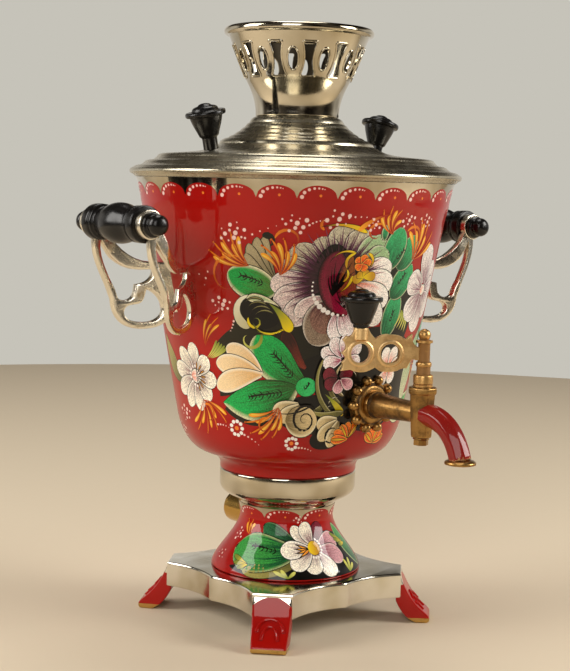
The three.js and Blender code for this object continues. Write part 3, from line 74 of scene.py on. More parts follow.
class Profile:
    """An outline of (radius, height) points in millimetres, drawn with lines and curves."""

    def __init__(self, r: float, z: float) -> None:
        """Start the outline at a point."""
        self.points: list[Point] = [(r, z)]

    def line(self, *points: Point) -> "Profile":
        """Add straight runs through points."""
        self.points.extend(points)
        return self

    def curve(self, first: Point, second: Point, end: Point, steps: int = 10) -> "Profile":
        """Add a cubic curve in straight steps, given its two control points and its end."""
        knots = [Vector((*p, 0)) for p in (self.points[-1], first, second, end)]
        self.points.extend((p.x, p.y) for p in interpolate_bezier(*knots, steps + 1)[1:])
        return self

    def bow(self, control: Point, end: Point, steps: int = 8) -> "Profile":
        """Add a quadratic curve in straight steps, given its control point and its end."""
        start, pull, stop = (Vector(p) for p in (self.points[-1], control, end))
        return self.curve(start.lerp(pull, 2 / 3), stop.lerp(pull, 2 / 3), end, steps)

    def arc(self, centre: Point, radius: float, start: float, stop: float, steps: int = 8) -> "Profile":
        """Add a round stretch in straight steps, its angles in degrees from the outward direction."""
        turns = (math.radians(start + (stop - start) * i / steps) for i in range(steps + 1))
        self.points.extend(polar(swing, centre, radius) for swing in turns)
        return self

    def tail(self, first: int) -> "Profile":
        """Return the outline from its numbered point on."""
        start, *rest = self.points[first:]
        return Profile(*start).line(*rest)

    def crossings(self, z: float) -> Iterator[float]:
        """Yield each radius at which the outline passes a height."""
        for (r0, z0), (r1, z1) in zip(self.points, self.points[1:]):
            if min(z0, z1) <= z <= max(z0, z1) and z0 != z1:
                yield r0 + (r1 - r0) * (z - z0) / (z1 - z0)

    def radius_at(self, z: float) -> float:
        """Return the first radius at a height, or that of the nearest point."""
        for radius in self.crossings(z):
            return radius
        return min(self.points, key=lambda p: abs(p[1] - z))[0]


def drawn(outline: Outline, unit: float = 1.0, steps: int = 8) -> list[Point]:
    """Draw an outline that is given in one unit.

    Args:
        outline: A start, then lines (two numbers) and curves (four or six).
        unit: The unit in millimetres.
        steps: Number of straight pieces in each curve.

    Returns:
        Its points in millimetres.
    """
    start, *rest = ([value * unit for value in part] for part in outline)
    line = Profile(*start)
    for part in rest:
        pairs = [tuple(part[i:i + 2]) for i in range(0, len(part), 2)]
        if len(pairs) == 1:
            line.line(*pairs)
        else:
            (line.bow if len(pairs) == 2 else line.curve)(*pairs, steps=steps)
    return line.points


def opened(mesh: bpy.types.Mesh) -> Mesh:
    """Turn a mesh into a bmesh and remove it."""
    shape = bmesh.new()
    shape.from_mesh(mesh)
    bpy.data.meshes.remove(mesh)
    return shape


def closed_up(shape: Mesh, name: str) -> bpy.types.Mesh:
    """Turn a bmesh into a mesh and free it."""
    mesh = bpy.data.meshes.new(name)
    shape.to_mesh(mesh)
    shape.free()
    return mesh


def placed(name: str, data: bpy.types.ID) -> bpy.types.Object:
    """Make an object and put it in the scene."""
    made = bpy.data.objects.new(name, data)
    bpy.context.scene.collection.objects.link(made)
    return made


def from_curve(curve: bpy.types.Curve, runs: Sequence[Outline], closed: bool) -> Mesh:
    """Run a curve's section along lines.

    Args:
        curve: Curve with its section set; it is used up.
        runs: Lines of (x, y, z) points in millimetres.
        closed: Whether each line's end joins its start.

    Returns:
        The solid.
    """
    for run in runs:
        spline = curve.splines.new("POLY")
        spline.points.add(len(run) - 1)
        for knot, place in zip(spline.points, run):
            knot.co = (*(value * MM for value in place), 1)
        spline.use_cyclic_u = closed
    carrier = bpy.data.objects.new("carrier", curve)
    shape = opened(bpy.data.meshes.new_from_object(carrier))
    bpy.data.objects.remove(carrier)
    bpy.data.curves.remove(curve)
    return shape


def outward(shape: Mesh) -> Mesh:
    """Turn a shape's faces outwards."""
    bmesh.ops.recalc_face_normals(shape, faces=shape.faces)
    return shape


def spun(profile: Profile, steps: int = 128, closed: bool = True) -> Mesh:
    """Spin a profile about the upright axis.

    Args:
        profile: Outline in millimetres.
        steps: Number of facets round the axis.
        closed: Whether the outline's end joins its start.

    Returns:
        A bmesh in metres, with its axis at the origin and faces pointing out.
    """
    shape = bmesh.new()
    verts = [shape.verts.new((max(r, 0) * MM, 0, z * MM)) for r, z in profile.points]
    edges = [shape.edges.new(pair) for pair in zip(verts, verts[1:])]
    if closed and verts[0].co.x + verts[-1].co.x > 0:
        edges.append(shape.edges.new((verts[-1], verts[0])))
    bmesh.ops.spin(shape, geom=verts + edges, cent=(0, 0, 0), axis=(0, 0, 1), dvec=(0, 0, 0),
                   angle=TURN, steps=steps, use_merge=True, use_duplicate=False)
    bmesh.ops.remove_doubles(shape, verts=shape.verts, dist=MM / 1000)
    return outward(shape)


def rounded(shape: Mesh, width: float, angle: float = 40) -> Mesh:
    """Round a shape's sharp edges.

    Args:
        shape: The bmesh to change.
        width: Bevel width in millimetres.
        angle: Edges that turn by more than this many degrees are rounded.

    Returns:
        The same bmesh.
    """
    limit = math.radians(angle)
    sharp = [e for e in shape.edges if len(e.link_faces) == 2 and e.calc_face_angle() > limit]
    bmesh.ops.bevel(shape, geom=sharp, offset=width * MM, offset_type="OFFSET", segments=2,
                    profile=0.5, affect="EDGES", material=-1, clamp_overlap=True)
    return shape


def walled(shape: Mesh, thickness: float, inner: int = 0) -> Mesh:
    """Give an open surface a wall on its inner side.

    Args:
        shape: Surface of a spun shape.
        thickness: Wall in millimetres.
        inner: Material index of the inner faces.

    Returns:
        The same bmesh.
    """
    widest = max(shape.faces, key=lambda f: f.calc_center_median().xy.length)
    if widest.normal.xy.dot(widest.calc_center_median().xy) < 0:
        bmesh.ops.reverse_faces(shape, faces=shape.faces)
    outer = set(shape.faces)
    top = max(v.co.z for v in shape.verts)
    bmesh.ops.solidify(shape, geom=list(shape.faces), thickness=thickness * MM)
    for vert in shape.verts:
        vert.co.z = min(vert.co.z, top)
    for face in shape.faces:
        if face not in outer:
            face.material_index = inner
    return shape


def moved(shape: Mesh, *steps: Matrix) -> Mesh:
    """Apply matrices to a shape, the first one first."""
    for step in steps:
        bmesh.ops.transform(shape, matrix=step, verts=shape.verts)
    return shape


def joined(shapes: Iterable[Mesh]) -> Mesh:
    """Put several shapes into one bmesh."""
    whole = bmesh.new()
    for shape in shapes:
        carrier = closed_up(shape, "carrier")
        whole.from_mesh(carrier)
        bpy.data.meshes.remove(carrier)
    return whole


def sliced(shape: Mesh, spot: Sequence[float], way: Sequence[float]) -> None:
    """Add edges where a plane through a spot, in millimetres, crosses a shape."""
    bmesh.ops.bisect_plane(shape, geom=shape.verts[:] + shape.edges[:] + shape.faces[:],
                           plane_co=Vector(spot) * MM, plane_no=way)


def shift(x: float, y: float, z: float) -> Matrix:
    """Return a move by millimetres."""
    return Matrix.Translation(Vector((x, y, z)) * MM)


def turn(degrees: float, axis: str) -> Matrix:
    """Return a rotation about X, Y or Z."""
    return Matrix.Rotation(math.radians(degrees), 4, axis)


def plate(outlines: Sequence[Sequence[Point]], thickness: float, edge: float) -> Mesh:
    """Cut a flat plate with holes and rounded edges.

    Args:
        outlines: Closed outlines in (X, Z) millimetres, the outer one first.
        thickness: Plate thickness along Y.
        edge: Rounding of the edges.

    Returns:
        The plate in the XZ plane, its middle at y = 0.
    """
    flat = bpy.data.curves.new("plate", "CURVE")
    flat.dimensions = "2D"
    flat.fill_mode = "BOTH"
    flat.extrude = (thickness / 2 - edge) * MM
    flat.bevel_depth = edge * MM
    flat.bevel_resolution = 1
    flat.offset = -edge * MM
    runs = [[(*p, 0) for i, p in enumerate(line) if math.dist(p, line[i - 1]) > edge / 10]
            for line in outlines]
    shape = from_curve(flat, runs, True)
    bmesh.ops.remove_doubles(shape, verts=shape.verts, dist=edge * MM / 100)
    return moved(outward(shape), turn(90, "X"))


def rod(path: Sequence[Vector], width: float) -> Mesh:
    """Sweep a small round section along any path.

    Args:
        path: Path points in millimetres; it is closed where they come back to the first.
        width: Diameter of the section.

    Returns:
        The solid.
    """
    line = bpy.data.curves.new("rod", "CURVE")
    line.dimensions = "3D"
    line.bevel_depth = width / 2 * MM
    line.bevel_resolution = 2
    line.use_fill_caps = True
    return from_curve(line, [path], (path[0] - path[-1]).length < width / 4)


def swept(section: Sequence[Point], path: Sequence[Vector]) -> Mesh:
    """Extrude a closed section along a path in the YZ plane.

    Args:
        section: Points in (across, up) millimetres.
        path: Path points in millimetres.

    Returns:
        A closed tube with flat ends.
    """
    shape = bmesh.new()
    rings = []
    for i, place in enumerate(path):
        along = (path[min(i + 1, len(path) - 1)] - path[max(i - 1, 0)]).normalized()
        across = Vector((1, 0, 0))
        up = across.cross(along)
        ring = [shape.verts.new((place + (across * x + up * z)) * MM) for x, z in section]
        rings.append([shape.edges.new((vert, ring[j - 1])) for j, vert in enumerate(ring)])
    for first, second in zip(rings, rings[1:]):
        bmesh.ops.bridge_loops(shape, edges=first + second)
    for ring in (rings[0], rings[-1]):
        bmesh.ops.contextual_create(shape, geom=ring)
    return outward(shape)


def cut(shape: Mesh, tool: Mesh) -> Mesh:
    """Cut a closed shape with another.

    Args:
        shape: What is cut; it is used up.
        tool: What is taken away; it is used up.

    Returns:
        The cut shape.
    """
    blank, cutter = placed("blank", closed_up(shape, "blank")), placed("tool", closed_up(tool, "tool"))
    knife = blank.modifiers.new("cut", "BOOLEAN")
    knife.operation = "DIFFERENCE"
    knife.object = cutter
    knife.solver = "EXACT"
    graph = bpy.context.evaluated_depsgraph_get()
    result = opened(bpy.data.meshes.new_from_object(blank.evaluated_get(graph)))
    for holder in (blank, cutter):
        mesh = holder.data
        bpy.data.objects.remove(holder)
        bpy.data.meshes.remove(mesh)
    return result


def piece(name: str, slot: str, finishes: Sequence["Finish"], shape: Mesh, replaces: Sequence[str] = (),
          crease: float = 38, flat: bool = False, body: str = "samovar") -> None:
    """Put a visible piece on a body of the frame.

    Args:
        name: Object name.
        slot: Material slot of the record; not used.
        finishes: Materials by face index.
        shape: The bmesh, built round the samovar's axis; it is used up.
        replaces: Nodes that it stands for.
        crease: Edges that turn by more degrees than this stay sharp.
        flat: Whether its large faces are shaded flat up to their rounded edges.
        body: Body that it rides on.
    """
    mesh = closed_up(moved(shape, shift(0, AXIS_Y, 0)), name)
    mesh.polygons.foreach_set("use_smooth", [True] * len(mesh.polygons))
    mesh.set_sharp_from_angle(angle=math.radians(crease))
    for finish in finishes:
        mesh.materials.append(finish.material())
    made = placed(name, mesh)
    if flat:
        made.modifiers.new("flat_faces", "WEIGHTED_NORMAL").keep_sharp = True
    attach(made, body)
    if replaces:
        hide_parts(*replaces)
    LOG.info("%s: %d faces", name, len(mesh.polygons))


def redo(node: str, slot: str, finishes: Sequence["Finish"], shape: Mesh, **options) -> None:
    """Put a finer piece in a CAD node's place."""
    piece(f"{node}_dressed", slot, finishes, shape, [node], **options)


def dress(finish: "Finish", *nodes: str) -> None:
    """Give CAD nodes a finish in place of their plain one."""
    for name in nodes:
        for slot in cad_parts[name].material_slots:
            slot.material = finish.material()


# Finishes


def linear(code: str) -> tuple[float, float, float, float]:
    """Turn an sRGB hex code into linear colour."""
    values = (int(code[i:i + 2], 16) / 255 for i in (0, 2, 4))
    return (*(v / 12.92 if v <= 0.04045 else ((v + 0.055) / 1.055) ** 2.4 for v in values), 1.0)


def fill(node: Node, inputs: dict) -> None:
    """Set a node's inputs.

    Args:
        node: The node.
        inputs: By name or number, a value, a socket or another node for its first output.
    """
    for key, value in inputs.items():
        source = value.outputs[0] if isinstance(value, Node) else value
        if isinstance(source, Socket):
            node.id_data.links.new(source, node.inputs[key])
        else:
            node.inputs[key].default_value = source


def add_node(tree: Tree, kind: str, inputs: dict | None = None,
             stops: Sequence[tuple[float, str]] = (), **settings) -> Node:
    """Add a node with its settings and links.

    Args:
        tree: Where it goes.
        kind: Its type, without the first word of Blender's name for it.
        inputs: What its inputs get.
        stops: Ramp stops as (position, colour code).
        **settings: Properties of the node.

    Returns:
        The node.
    """
    node = tree.nodes.new("ShaderNode" + kind)
    for name, value in settings.items():
        setattr(node, name, value)
    for i, (place, code) in enumerate(stops):
        stop = node.color_ramp.elements[i] if i < 2 else node.color_ramp.elements.new(place)
        stop.position = place
        stop.color = linear(code)
    fill(node, inputs or {})
    return node


def per_mm(size: float) -> float:
    """Return the texture scale whose features are about size millimetres."""
    return 1 / (size * MM)


@dataclass(frozen=True)
class Finish:
    """A material named for what it is and how its surface was made."""

    name: str

    def material(self) -> bpy.types.Material:
        """Return the material, made once."""
        made = bpy.data.materials.get(self.name)
        if made is None:
            made = bpy.data.materials.new(self.name)
            made.use_nodes = True
            place = add_node(made.node_tree, "TexCoord").outputs["Object"]
            self.shade(made.node_tree, made.node_tree.nodes["Principled BSDF"], place)
        return made

    def shade(self, tree: Tree, shader: Node, place: Socket) -> None:
        """Fill in the shader.

        Args:
            tree: The material's nodes.
            shader: The one that is filled in.
            place: Object coordinates, in metres.
        """
        raise NotImplementedError


@dataclass(frozen=True)
class PlatedNickel(Finish):
    """Nickel over brass, warm, worn in patches, with the turning lines of spinning and wiping marks.

    The lines' spacing, line_mm, is finer on the real one and drawn this coarse to show.
    """

    bright: str
    worn: str
    roughness: float
    line_depth: float = 0.0
    line_mm: float = 0.9
    cloud_mm: float = 30.0
    smear_mm: float = 7.0

    def shade(self, tree: Tree, shader: Node, place: Socket) -> None:
        """Fill in the shader."""
        cloud = add_node(tree, "TexNoise", {"Vector": place, "Scale": per_mm(self.cloud_mm), "Detail": 2.0})
        tint = add_node(tree, "ValToRGB", {"Fac": cloud}, ((0.3, self.worn), (0.62, self.bright)))
        smear = add_node(tree, "TexNoise", {"Vector": place, "Scale": per_mm(self.smear_mm), "Detail": 6.0})
        rough = add_node(tree, "MapRange", {"Value": smear, "From Min": 0.3, "From Max": 0.75,
                                            "To Min": self.roughness * 0.9, "To Max": self.roughness * 1.2})
        fill(shader, {"Metallic": 1.0, "Base Color": tint, "Roughness": rough})
        if self.line_depth:
            centred = add_node(tree, "Mapping", {"Vector": place, "Location": (0, -AXIS_Y * MM, 0),
                                                 "Scale": (1, 1, 0)})
            out = add_node(tree, "VectorMath", {0: centred}, operation="LENGTH").outputs["Value"]
            lines = add_node(tree, "TexNoise", {"W": out, "Detail": 2.0, "Scale": per_mm(self.line_mm)},
                             noise_dimensions="1D")
            bump = add_node(tree, "Bump", {"Height": lines, "Strength": 1.0, "Distance": self.line_depth * MM})
            fill(shader, {"Normal": bump})


# Clear lacquer over a pigment of nearly the same index: the coat does the reflecting
LACQUER = {"Roughness": 0.4, "IOR": 1.5, "Specular IOR Level": 0.08, "Coat Weight": 0.6, "Coat IOR": 1.5}


@dataclass(frozen=True)
class GlossEnamel(Finish):
    """Baked enamel under clear lacquer: deep colour, a slight orange peel and a hard gloss.

    The colours are of a thick and a thin coat, and of the metal where edges are rubbed bare. The peel is
    drawn a little coarse so that it shows.
    """

    deep: str
    thin: str
    peel_mm: float = 5.0
    rubbed: str = ""
    cloud_mm: float = 90.0
    chip_mm: float = 1.5

    def shade(self, tree: Tree, shader: Node, place: Socket) -> None:
        """Fill in the shader."""
        cloud = add_node(tree, "TexNoise", {"Vector": place, "Scale": per_mm(self.cloud_mm), "Detail": 1.0})
        tint = add_node(tree, "ValToRGB", {"Fac": cloud}, ((0.35, self.deep), (0.65, self.thin)))
        colour = tint.outputs["Color"]
        if self.rubbed:
            chips = add_node(tree, "TexNoise", {"Vector": place, "Scale": per_mm(self.chip_mm), "Detail": 3.0})
            ridge = add_node(tree, "NewGeometry").outputs["Pointiness"]
            level = add_node(tree, "Math", {0: chips, 1: 0.12, 2: ridge}, operation="MULTIPLY_ADD")
            worn = add_node(tree, "MapRange", {"Value": level, "From Min": 0.603, "From Max": 0.62})
            colour = add_node(tree, "Mix", {0: worn, 6: colour, 7: linear(self.rubbed)},
                              data_type="RGBA").outputs[2]
        peel = add_node(tree, "TexNoise", {"Vector": place, "Scale": per_mm(self.peel_mm)})
        bump = add_node(tree, "Bump", {"Height": peel, "Strength": 0.5, "Distance": 0.04 * MM})
        fill(shader, {**LACQUER, "Coat Roughness": 0.035, "Base Color": colour, "Coat Normal": bump})


@dataclass(frozen=True)
class CastMetal(Finish):
    """Sand-cast metal, tumbled and dulled: dark in the hollows, bright where hands rub it.

    The patina is the share that is dark, and oxide says how metallic the dark skin still is. The
    casting's pits are drawn coarse enough to show.
    """

    bright: str
    dark: str
    roughness: float
    pit_depth: float = 0.1
    patina: float = 0.5
    oxide: float = 0.6
    pit_mm: float = 1.4
    cloud_mm: float = 9.0

    def shade(self, tree: Tree, shader: Node, place: Socket) -> None:
        """Fill in the shader."""
        cloud = add_node(tree, "TexNoise", {"Vector": place, "Scale": per_mm(self.cloud_mm), "Detail": 8.0,
                                            "Roughness": 0.65})
        ridge = add_node(tree, "NewGeometry").outputs["Pointiness"]
        edge = add_node(tree, "MapRange", {"Value": ridge, "From Min": 0.44, "From Max": 0.56, "To Min": -0.25,
                                           "To Max": 0.25})
        level = add_node(tree, "Math", {0: cloud, 1: edge}, operation="ADD")
        low, high = self.patina - 0.14, self.patina + 0.12
        tint = add_node(tree, "ValToRGB", {"Fac": level}, ((low, self.dark), (high, self.bright)))
        rough = add_node(tree, "MapRange", {"Value": level, "From Min": low, "From Max": high, "To Min": 0.55,
                                            "To Max": self.roughness})
        bare = add_node(tree, "MapRange", {"Value": level, "From Min": low, "From Max": self.patina,
                                           "To Min": self.oxide, "To Max": 1.0})
        grain = add_node(tree, "TexNoise", {"Vector": place, "Scale": per_mm(self.pit_mm), "Detail": 3.0})
        bump = add_node(tree, "Bump", {"Height": grain, "Strength": 0.6, "Distance": self.pit_depth * MM})
        fill(shader, {"Base Color": tint, "Roughness": rough, "Metallic": bare, "Normal": bump})


@dataclass(frozen=True)
class PlainSurface(Finish):
    """A plain, faintly clouded material with the grain of how it was made, drawn coarse enough to show.

    The shine is the strength of its reflection, half for most materials.
    """

    colour: str
    shade_colour: str
    roughness: float
    metallic: float
    grain_mm: float
    grain_depth: float
    shine: float = 0.5
    cloud_mm: float = 12.0

    def shade(self, tree: Tree, shader: Node, place: Socket) -> None:
        """Fill in the shader."""
        cloud = add_node(tree, "TexNoise", {"Vector": place, "Scale": per_mm(self.cloud_mm), "Detail": 5.0})
        tint = add_node(tree, "ValToRGB", {"Fac": cloud}, ((0.35, self.shade_colour), (0.65, self.colour)))
        rough = add_node(tree, "MapRange", {"Value": cloud, "From Min": 0.3, "From Max": 0.7,
                                            "To Min": self.roughness * 0.8, "To Max": self.roughness * 1.25})
        grain = add_node(tree, "TexNoise", {"Vector": place, "Scale": per_mm(self.grain_mm), "Detail": 2.0})
        bump = add_node(tree, "Bump", {"Height": grain, "Strength": 0.5, "Distance": self.grain_depth * MM})
        fill(shader, {"Metallic": self.metallic, "Specular IOR Level": self.shine, "Base Color": tint,
                      "Roughness": rough, "Normal": bump})


# Brushed on the lathe: rings of fine lines that spread a highlight across them
SPUN_NICKEL = PlatedNickel("nickel_spun_brushed", "c8c1ad", "b0a68e", 0.26, 0.02)
# Polished plate: sharp, warm reflections with faint wiping marks
POLISHED_NICKEL = PlatedNickel("nickel_polished", "d3cbb9", "a99d82", 0.1)
# Plated casting: paler, with the softer gloss of a filed surface
CAST_NICKEL = PlatedNickel("nickel_plated_casting", "ebe8dd", "c9c0a6", 0.15)
# Tinned inside of the reservoir: grey-white and soft
TINNED = PlainSurface("tin_wiped", "c9c7c0", "a9a69c", 0.34, 1.0, 6.0, 0.06)
# Body and pedestal: deep red with a hard wet gloss
RED_ENAMEL = GlossEnamel("enamel_red_baked", "9c0903", "ac0c05")
# Brown-red paint on the cast spout, rubbed through to the metal on its edges
SPOUT_PAINT = GlossEnamel("enamel_brown_red_brushed", "5e0d09", "8c1711", 3.0, "b98a5e")
# Bronze tap: brown patina with rubbed gold edges
BRONZE = CastMetal("bronze_cast_aged", "a8814b", "4d3720", 0.32, patina=0.54)
# Sandy gold of an unpolished casting, cleaner than the tap
KEY_BRASS = CastMetal("brass_cast_sandy", "e9c68e", "a87843", 0.45, 0.22, 0.55, 0.15)
# Turned stem: cleaner than the cast body, dull gold with brown in the grooves
TURNED_BRONZE = CastMetal("bronze_turned", "d8ab6c", "946b3b", 0.36, 0.04, 0.5, 0.35)
# Arms: yellow-white brass with bright filed edges
ARM_BRASS = CastMetal("brass_cast_bright", "f0e8d6", "90753f", 0.22, 0.05, 0.44)
# Turned small parts: even yellow with little patina
PLAIN_BRASS = CastMetal("brass_turned", "c9a055", "99713a", 0.22, 0.02, 0.4)
# Toes: plate rubbed off the table's edge down to yellow brass
TOE_GOLD = CastMetal("brass_rubbed_toe", "cfa862", "8d6a35", 0.28, 0.06, 0.42)
# Pressed phenolic, polished: near black with a clear reflection
PHENOLIC = PlainSurface("phenolic_pressed_polished", "0a0909", "110f0e", 0.24, 0.0, 3.0, 0.03, 0.38)
# Zinc plate: cool grey and satin
ZINC_STEEL = PlainSurface("steel_zinc_plated", "b4b5b2", "8f9190", 0.32, 1.0, 2.0, 0.03)
# Heater tube: stainless steel with brownish scale
HEATER_STEEL = PlainSurface("steel_stainless_scaled", "a3a09a", "7d776c", 0.4, 1.0, 3.0, 0.05)
# Moulded rubber: dark and matt
RUBBER = PlainSurface("rubber_moulded", "282624", "1f1d1c", 0.75, 0.0, 0.8, 0.05)
# Fired steatite: cream with a faint grain
STEATITE = PlainSurface("steatite_fired", "e6e0d0", "d9d2c0", 0.45, 0.0, 1.2, 0.03)
# Woven glass sleeving: straw-coloured, dull and rough
SLEEVING = PlainSurface("glass_sleeving_woven", "c3b083", "a18d60", 0.9, 0.0, 0.8, 0.2)
# Floor of the stage: matt and even, so that it draws no eye
FLOOR = PlainSurface("floor_plain_matt", "dacbb3", "dacbb3", 0.95, 0.0, 3.0, 0.0, 0.05)


# Sub-assemblies


@dataclass
class Base:
    """The cast base: a square plate with hollow sides, a skirt and four S-curved legs.

    The toe arcs are given as width, half span and height of their ends.
    """

    plate_top: float = 33.6
    plate_thick: float = 3.0
    skirt_top: float = 32.6
    skirt_bottom: float = 17.0
    skirt_wall: float = 3.0
    skirt_edge: float = 0.9
    corner_r: float = 79.5
    cusp_r: float = 63.0
    side_hollow: float = 9.0
    leg_width: float = 25.5
    toe_width: float = 22.5
    paint_cuts: int = 8
    paint_top: float = 31.5
    paint_arch: float = 5.5
    toe_edge: float = 3.4
    toe_arcs: Outline = ((2.0, 8.4, 12.0), (1.7, 5.2, 8.0))
    arc_rise: float = 7.0
    arc_stand: float = 0.1
    hole_r: float = 40.0
    toe_r: float = 99.5
    legs: int = 4
    edge: float = 1.2
    steps: int = 12

    def plan(self, inset: float) -> list[Point]:
        """Return the plan outline, drawn in by inset."""
        half = self.leg_width / 2 - inset
        corner = self.corner_r - inset
        outline: list[Point] = []
        for i in range(self.legs):
            turned_by = Matrix.Rotation(math.pi / 4 + i * math.pi / 2, 2)
            first, last = (turned_by @ Vector((corner, side * half)) for side in (-1, 1))
            side = Matrix.Rotation((i + 1) * math.pi / 2, 2) @ Vector((1, 0))
            cusp = side * (self.cusp_r - inset)
            after = Matrix.Rotation(math.pi / 2, 2) @ first
            run = Profile(*last)
            for start, stop in ((last, cusp), (cusp, after)):
                run.bow(tuple((start + stop) / 2 - side * self.side_hollow), tuple(stop), self.steps)
            outline += [tuple(first), *run.points]
        return outline

    def leg_line(self) -> Profile:
        """Return the leg's side outline in (distance from the axis, height)."""
        top = self.plate_top - self.plate_thick / 2
        leg = Profile(self.corner_r - 4, top).line((self.corner_r - 0.4, top))
        leg.curve((self.corner_r + 2.5, 25), (86, 15), (97, 6.5), 12)
        leg.bow((self.toe_r, 4.4), (self.toe_r, 2.6), 4).bow((self.toe_r, 0.4), (97.4, 0), 3)
        return leg.line((90.5, 0)).curve((85, 1.5), (80.5, 6), (76.5, 14.5), 8)

    def arch(self, across: float) -> float:
        """Return the height of the paint's upper edge at a share of the leg's half width."""
        return self.paint_top - self.paint_arch * across ** 2

    def leg(self) -> Mesh:
        """Build one leg along +X: red up to an arch under the plate, with bare metal on the toe's edge."""
        blank = plate([self.leg_line().points], self.leg_width, self.edge)
        half = self.leg_width / 2
        shares = [2 * i / self.paint_cuts - 1 for i in range(self.paint_cuts + 1)]
        arch_line = [Vector((0, half * share, self.arch(share))) for share in shares]
        for a, b in zip(arch_line, arch_line[1:]):
            sliced(blank, a, (0, a.z - b.z, b.y - a.y))
        for spot in arch_line[1:-1]:
            sliced(blank, spot, (0, 1, 0))
        for z in (self.toe_edge, 10, 20):
            sliced(blank, (0, 0, z), (0, 0, 1))
        for face in blank.faces:
            centre = face.calc_center_median() / MM
            painted = 1 if centre.z > self.toe_edge else 2
            face.material_index = 0 if centre.z > self.arch(centre.y / half) else painted
        for vert in blank.verts:
            along = min(max((vert.co.x / MM - self.corner_r) / (self.toe_r - self.corner_r), 0), 1)
            vert.co.y *= 1 - along * (1 - self.toe_width / self.leg_width)
        return outward(blank)

    def arcs(self) -> Mesh:
        """Build the nested raised arcs on a toe, along +X."""
        side = self.leg_line()
        arcs = []
        for width, half, foot in self.toe_arcs:
            span = [polar(math.pi * i / 20, (0, foot), half, self.arc_rise) for i in range(21)]
            arcs.append(rod([Vector((max(side.crossings(z)) + self.arc_stand, y, z)) for y, z in span], width))
        both = joined(arcs)
        for face in both.faces:
            face.material_index = 1
        return both

    def build(self) -> None:
        """Build and dress the casting and what is under it."""
        hole = [polar(math.radians(3 * i), across=self.hole_r) for i in range(120)]
        deck = plate([self.plan(0), hole], self.plate_thick, self.edge)
        skirt = plate([self.plan(0), self.plan(self.skirt_wall)], self.skirt_top - self.skirt_bottom,
                      self.skirt_edge)
        parts = [moved(deck, turn(-90, "X"), shift(0, 0, self.plate_top - self.plate_thick / 2)),
                 moved(skirt, turn(-90, "X"), shift(0, 0, (self.skirt_bottom + self.skirt_top) / 2))]
        for i in range(self.legs):
            heading = turn(45 + i * 360 / self.legs, "Z")
            parts += [moved(self.leg(), heading), moved(self.arcs(), heading)]
        finishes = [CAST_NICKEL, RED_ENAMEL, TOE_GOLD]
        redo("base_casting", "nickel", finishes, joined(parts), crease=42, flat=True)
        dress(ZINC_STEEL, "bottom_cover", "tie_stud", "tie_nut")


@dataclass
class Stand:
    """The painted pedestal, the plated neck band and the power inlet."""

    sheet: float = 1.2
    foot_r: float = 50.5
    foot_z: float = 33.9
    foot_edge: float = 0.8
    waist_r: float = 31.5
    waist_z: float = 70.0
    paint_top: float = 71.0
    band_step: float = 0.6
    band_foot: float = 73.4
    top_r: float = 32.9
    top_z: float = 77.7
    neck_r: float = 46.0
    neck_foot: float = 78.0
    neck_bend: float = 90.0
    neck_top: float = 100.7
    inlet_z: float = 63.6
    inlet_r: float = 10.8
    inlet_wall: float = 1.2
    inlet_root: float = 27.0
    inlet_face: float = 57.0

    def pedestal_line(self) -> Profile:
        """Return the pedestal's outer line from its foot up."""
        r, z = self.foot_r, self.foot_z
        line = Profile(r - 7, z).line((r - self.foot_edge, z)).bow((r, z), (r, z + self.foot_edge), 3)
        line.curve((r - 1, z + 9), (self.waist_r, self.waist_z - 12), (self.waist_r, self.waist_z), 22)
        share = (self.paint_top - self.waist_z) / (self.band_foot - self.waist_z)
        return line.line((self.waist_r + self.band_step * share, self.paint_top),
                         (self.waist_r + self.band_step, self.band_foot), (self.top_r, self.top_z))

    def neck_line(self) -> Profile:
        """Return the neck band's outer line from the seam up."""
        r, top = self.neck_r, self.neck_top
        line = Profile(self.top_r, self.neck_foot)
        line.curve((self.top_r + 2.5, self.top_z + 5), (r - 1, self.top_z + 5), (r, self.neck_bend), 16)
        return line.line((r, top - 1)).bow((r, top), (r - 1, top), 3).line((r - 5, top))

    def build(self) -> None:
        """Build and dress the stand."""
        pedestal = walled(spun(self.pedestal_line(), closed=False), self.sheet)
        for face in pedestal.faces:
            if face.calc_center_median().z > self.paint_top * MM:
                face.material_index = 1
        redo("pedestal", "enamel", [RED_ENAMEL, POLISHED_NICKEL], pedestal)
        neck = walled(spun(self.neck_line(), closed=False), self.sheet)
        redo("neck_ring", "nickel", [POLISHED_NICKEL], neck)
        r, bore, face = self.inlet_r, self.inlet_r - self.inlet_wall, self.inlet_face
        line = Profile(bore, self.inlet_root).line((r, self.inlet_root), (r, face - 7), (r, face - 1))
        line.bow((r, face), (r - 0.6, face), 3).line((bore, face))
        shroud = moved(spun(line, 64), turn(-90, "X"), shift(0, 0, self.inlet_z))
        redo("power_inlet_shroud", "brass", [PLAIN_BRASS], shroud)
        dress(STEATITE, "inlet_insulator")
        dress(PLAIN_BRASS, "contact_pin_left", "contact_pin_right")
        dress(SLEEVING, "inlet_lead_left", "inlet_lead_right")


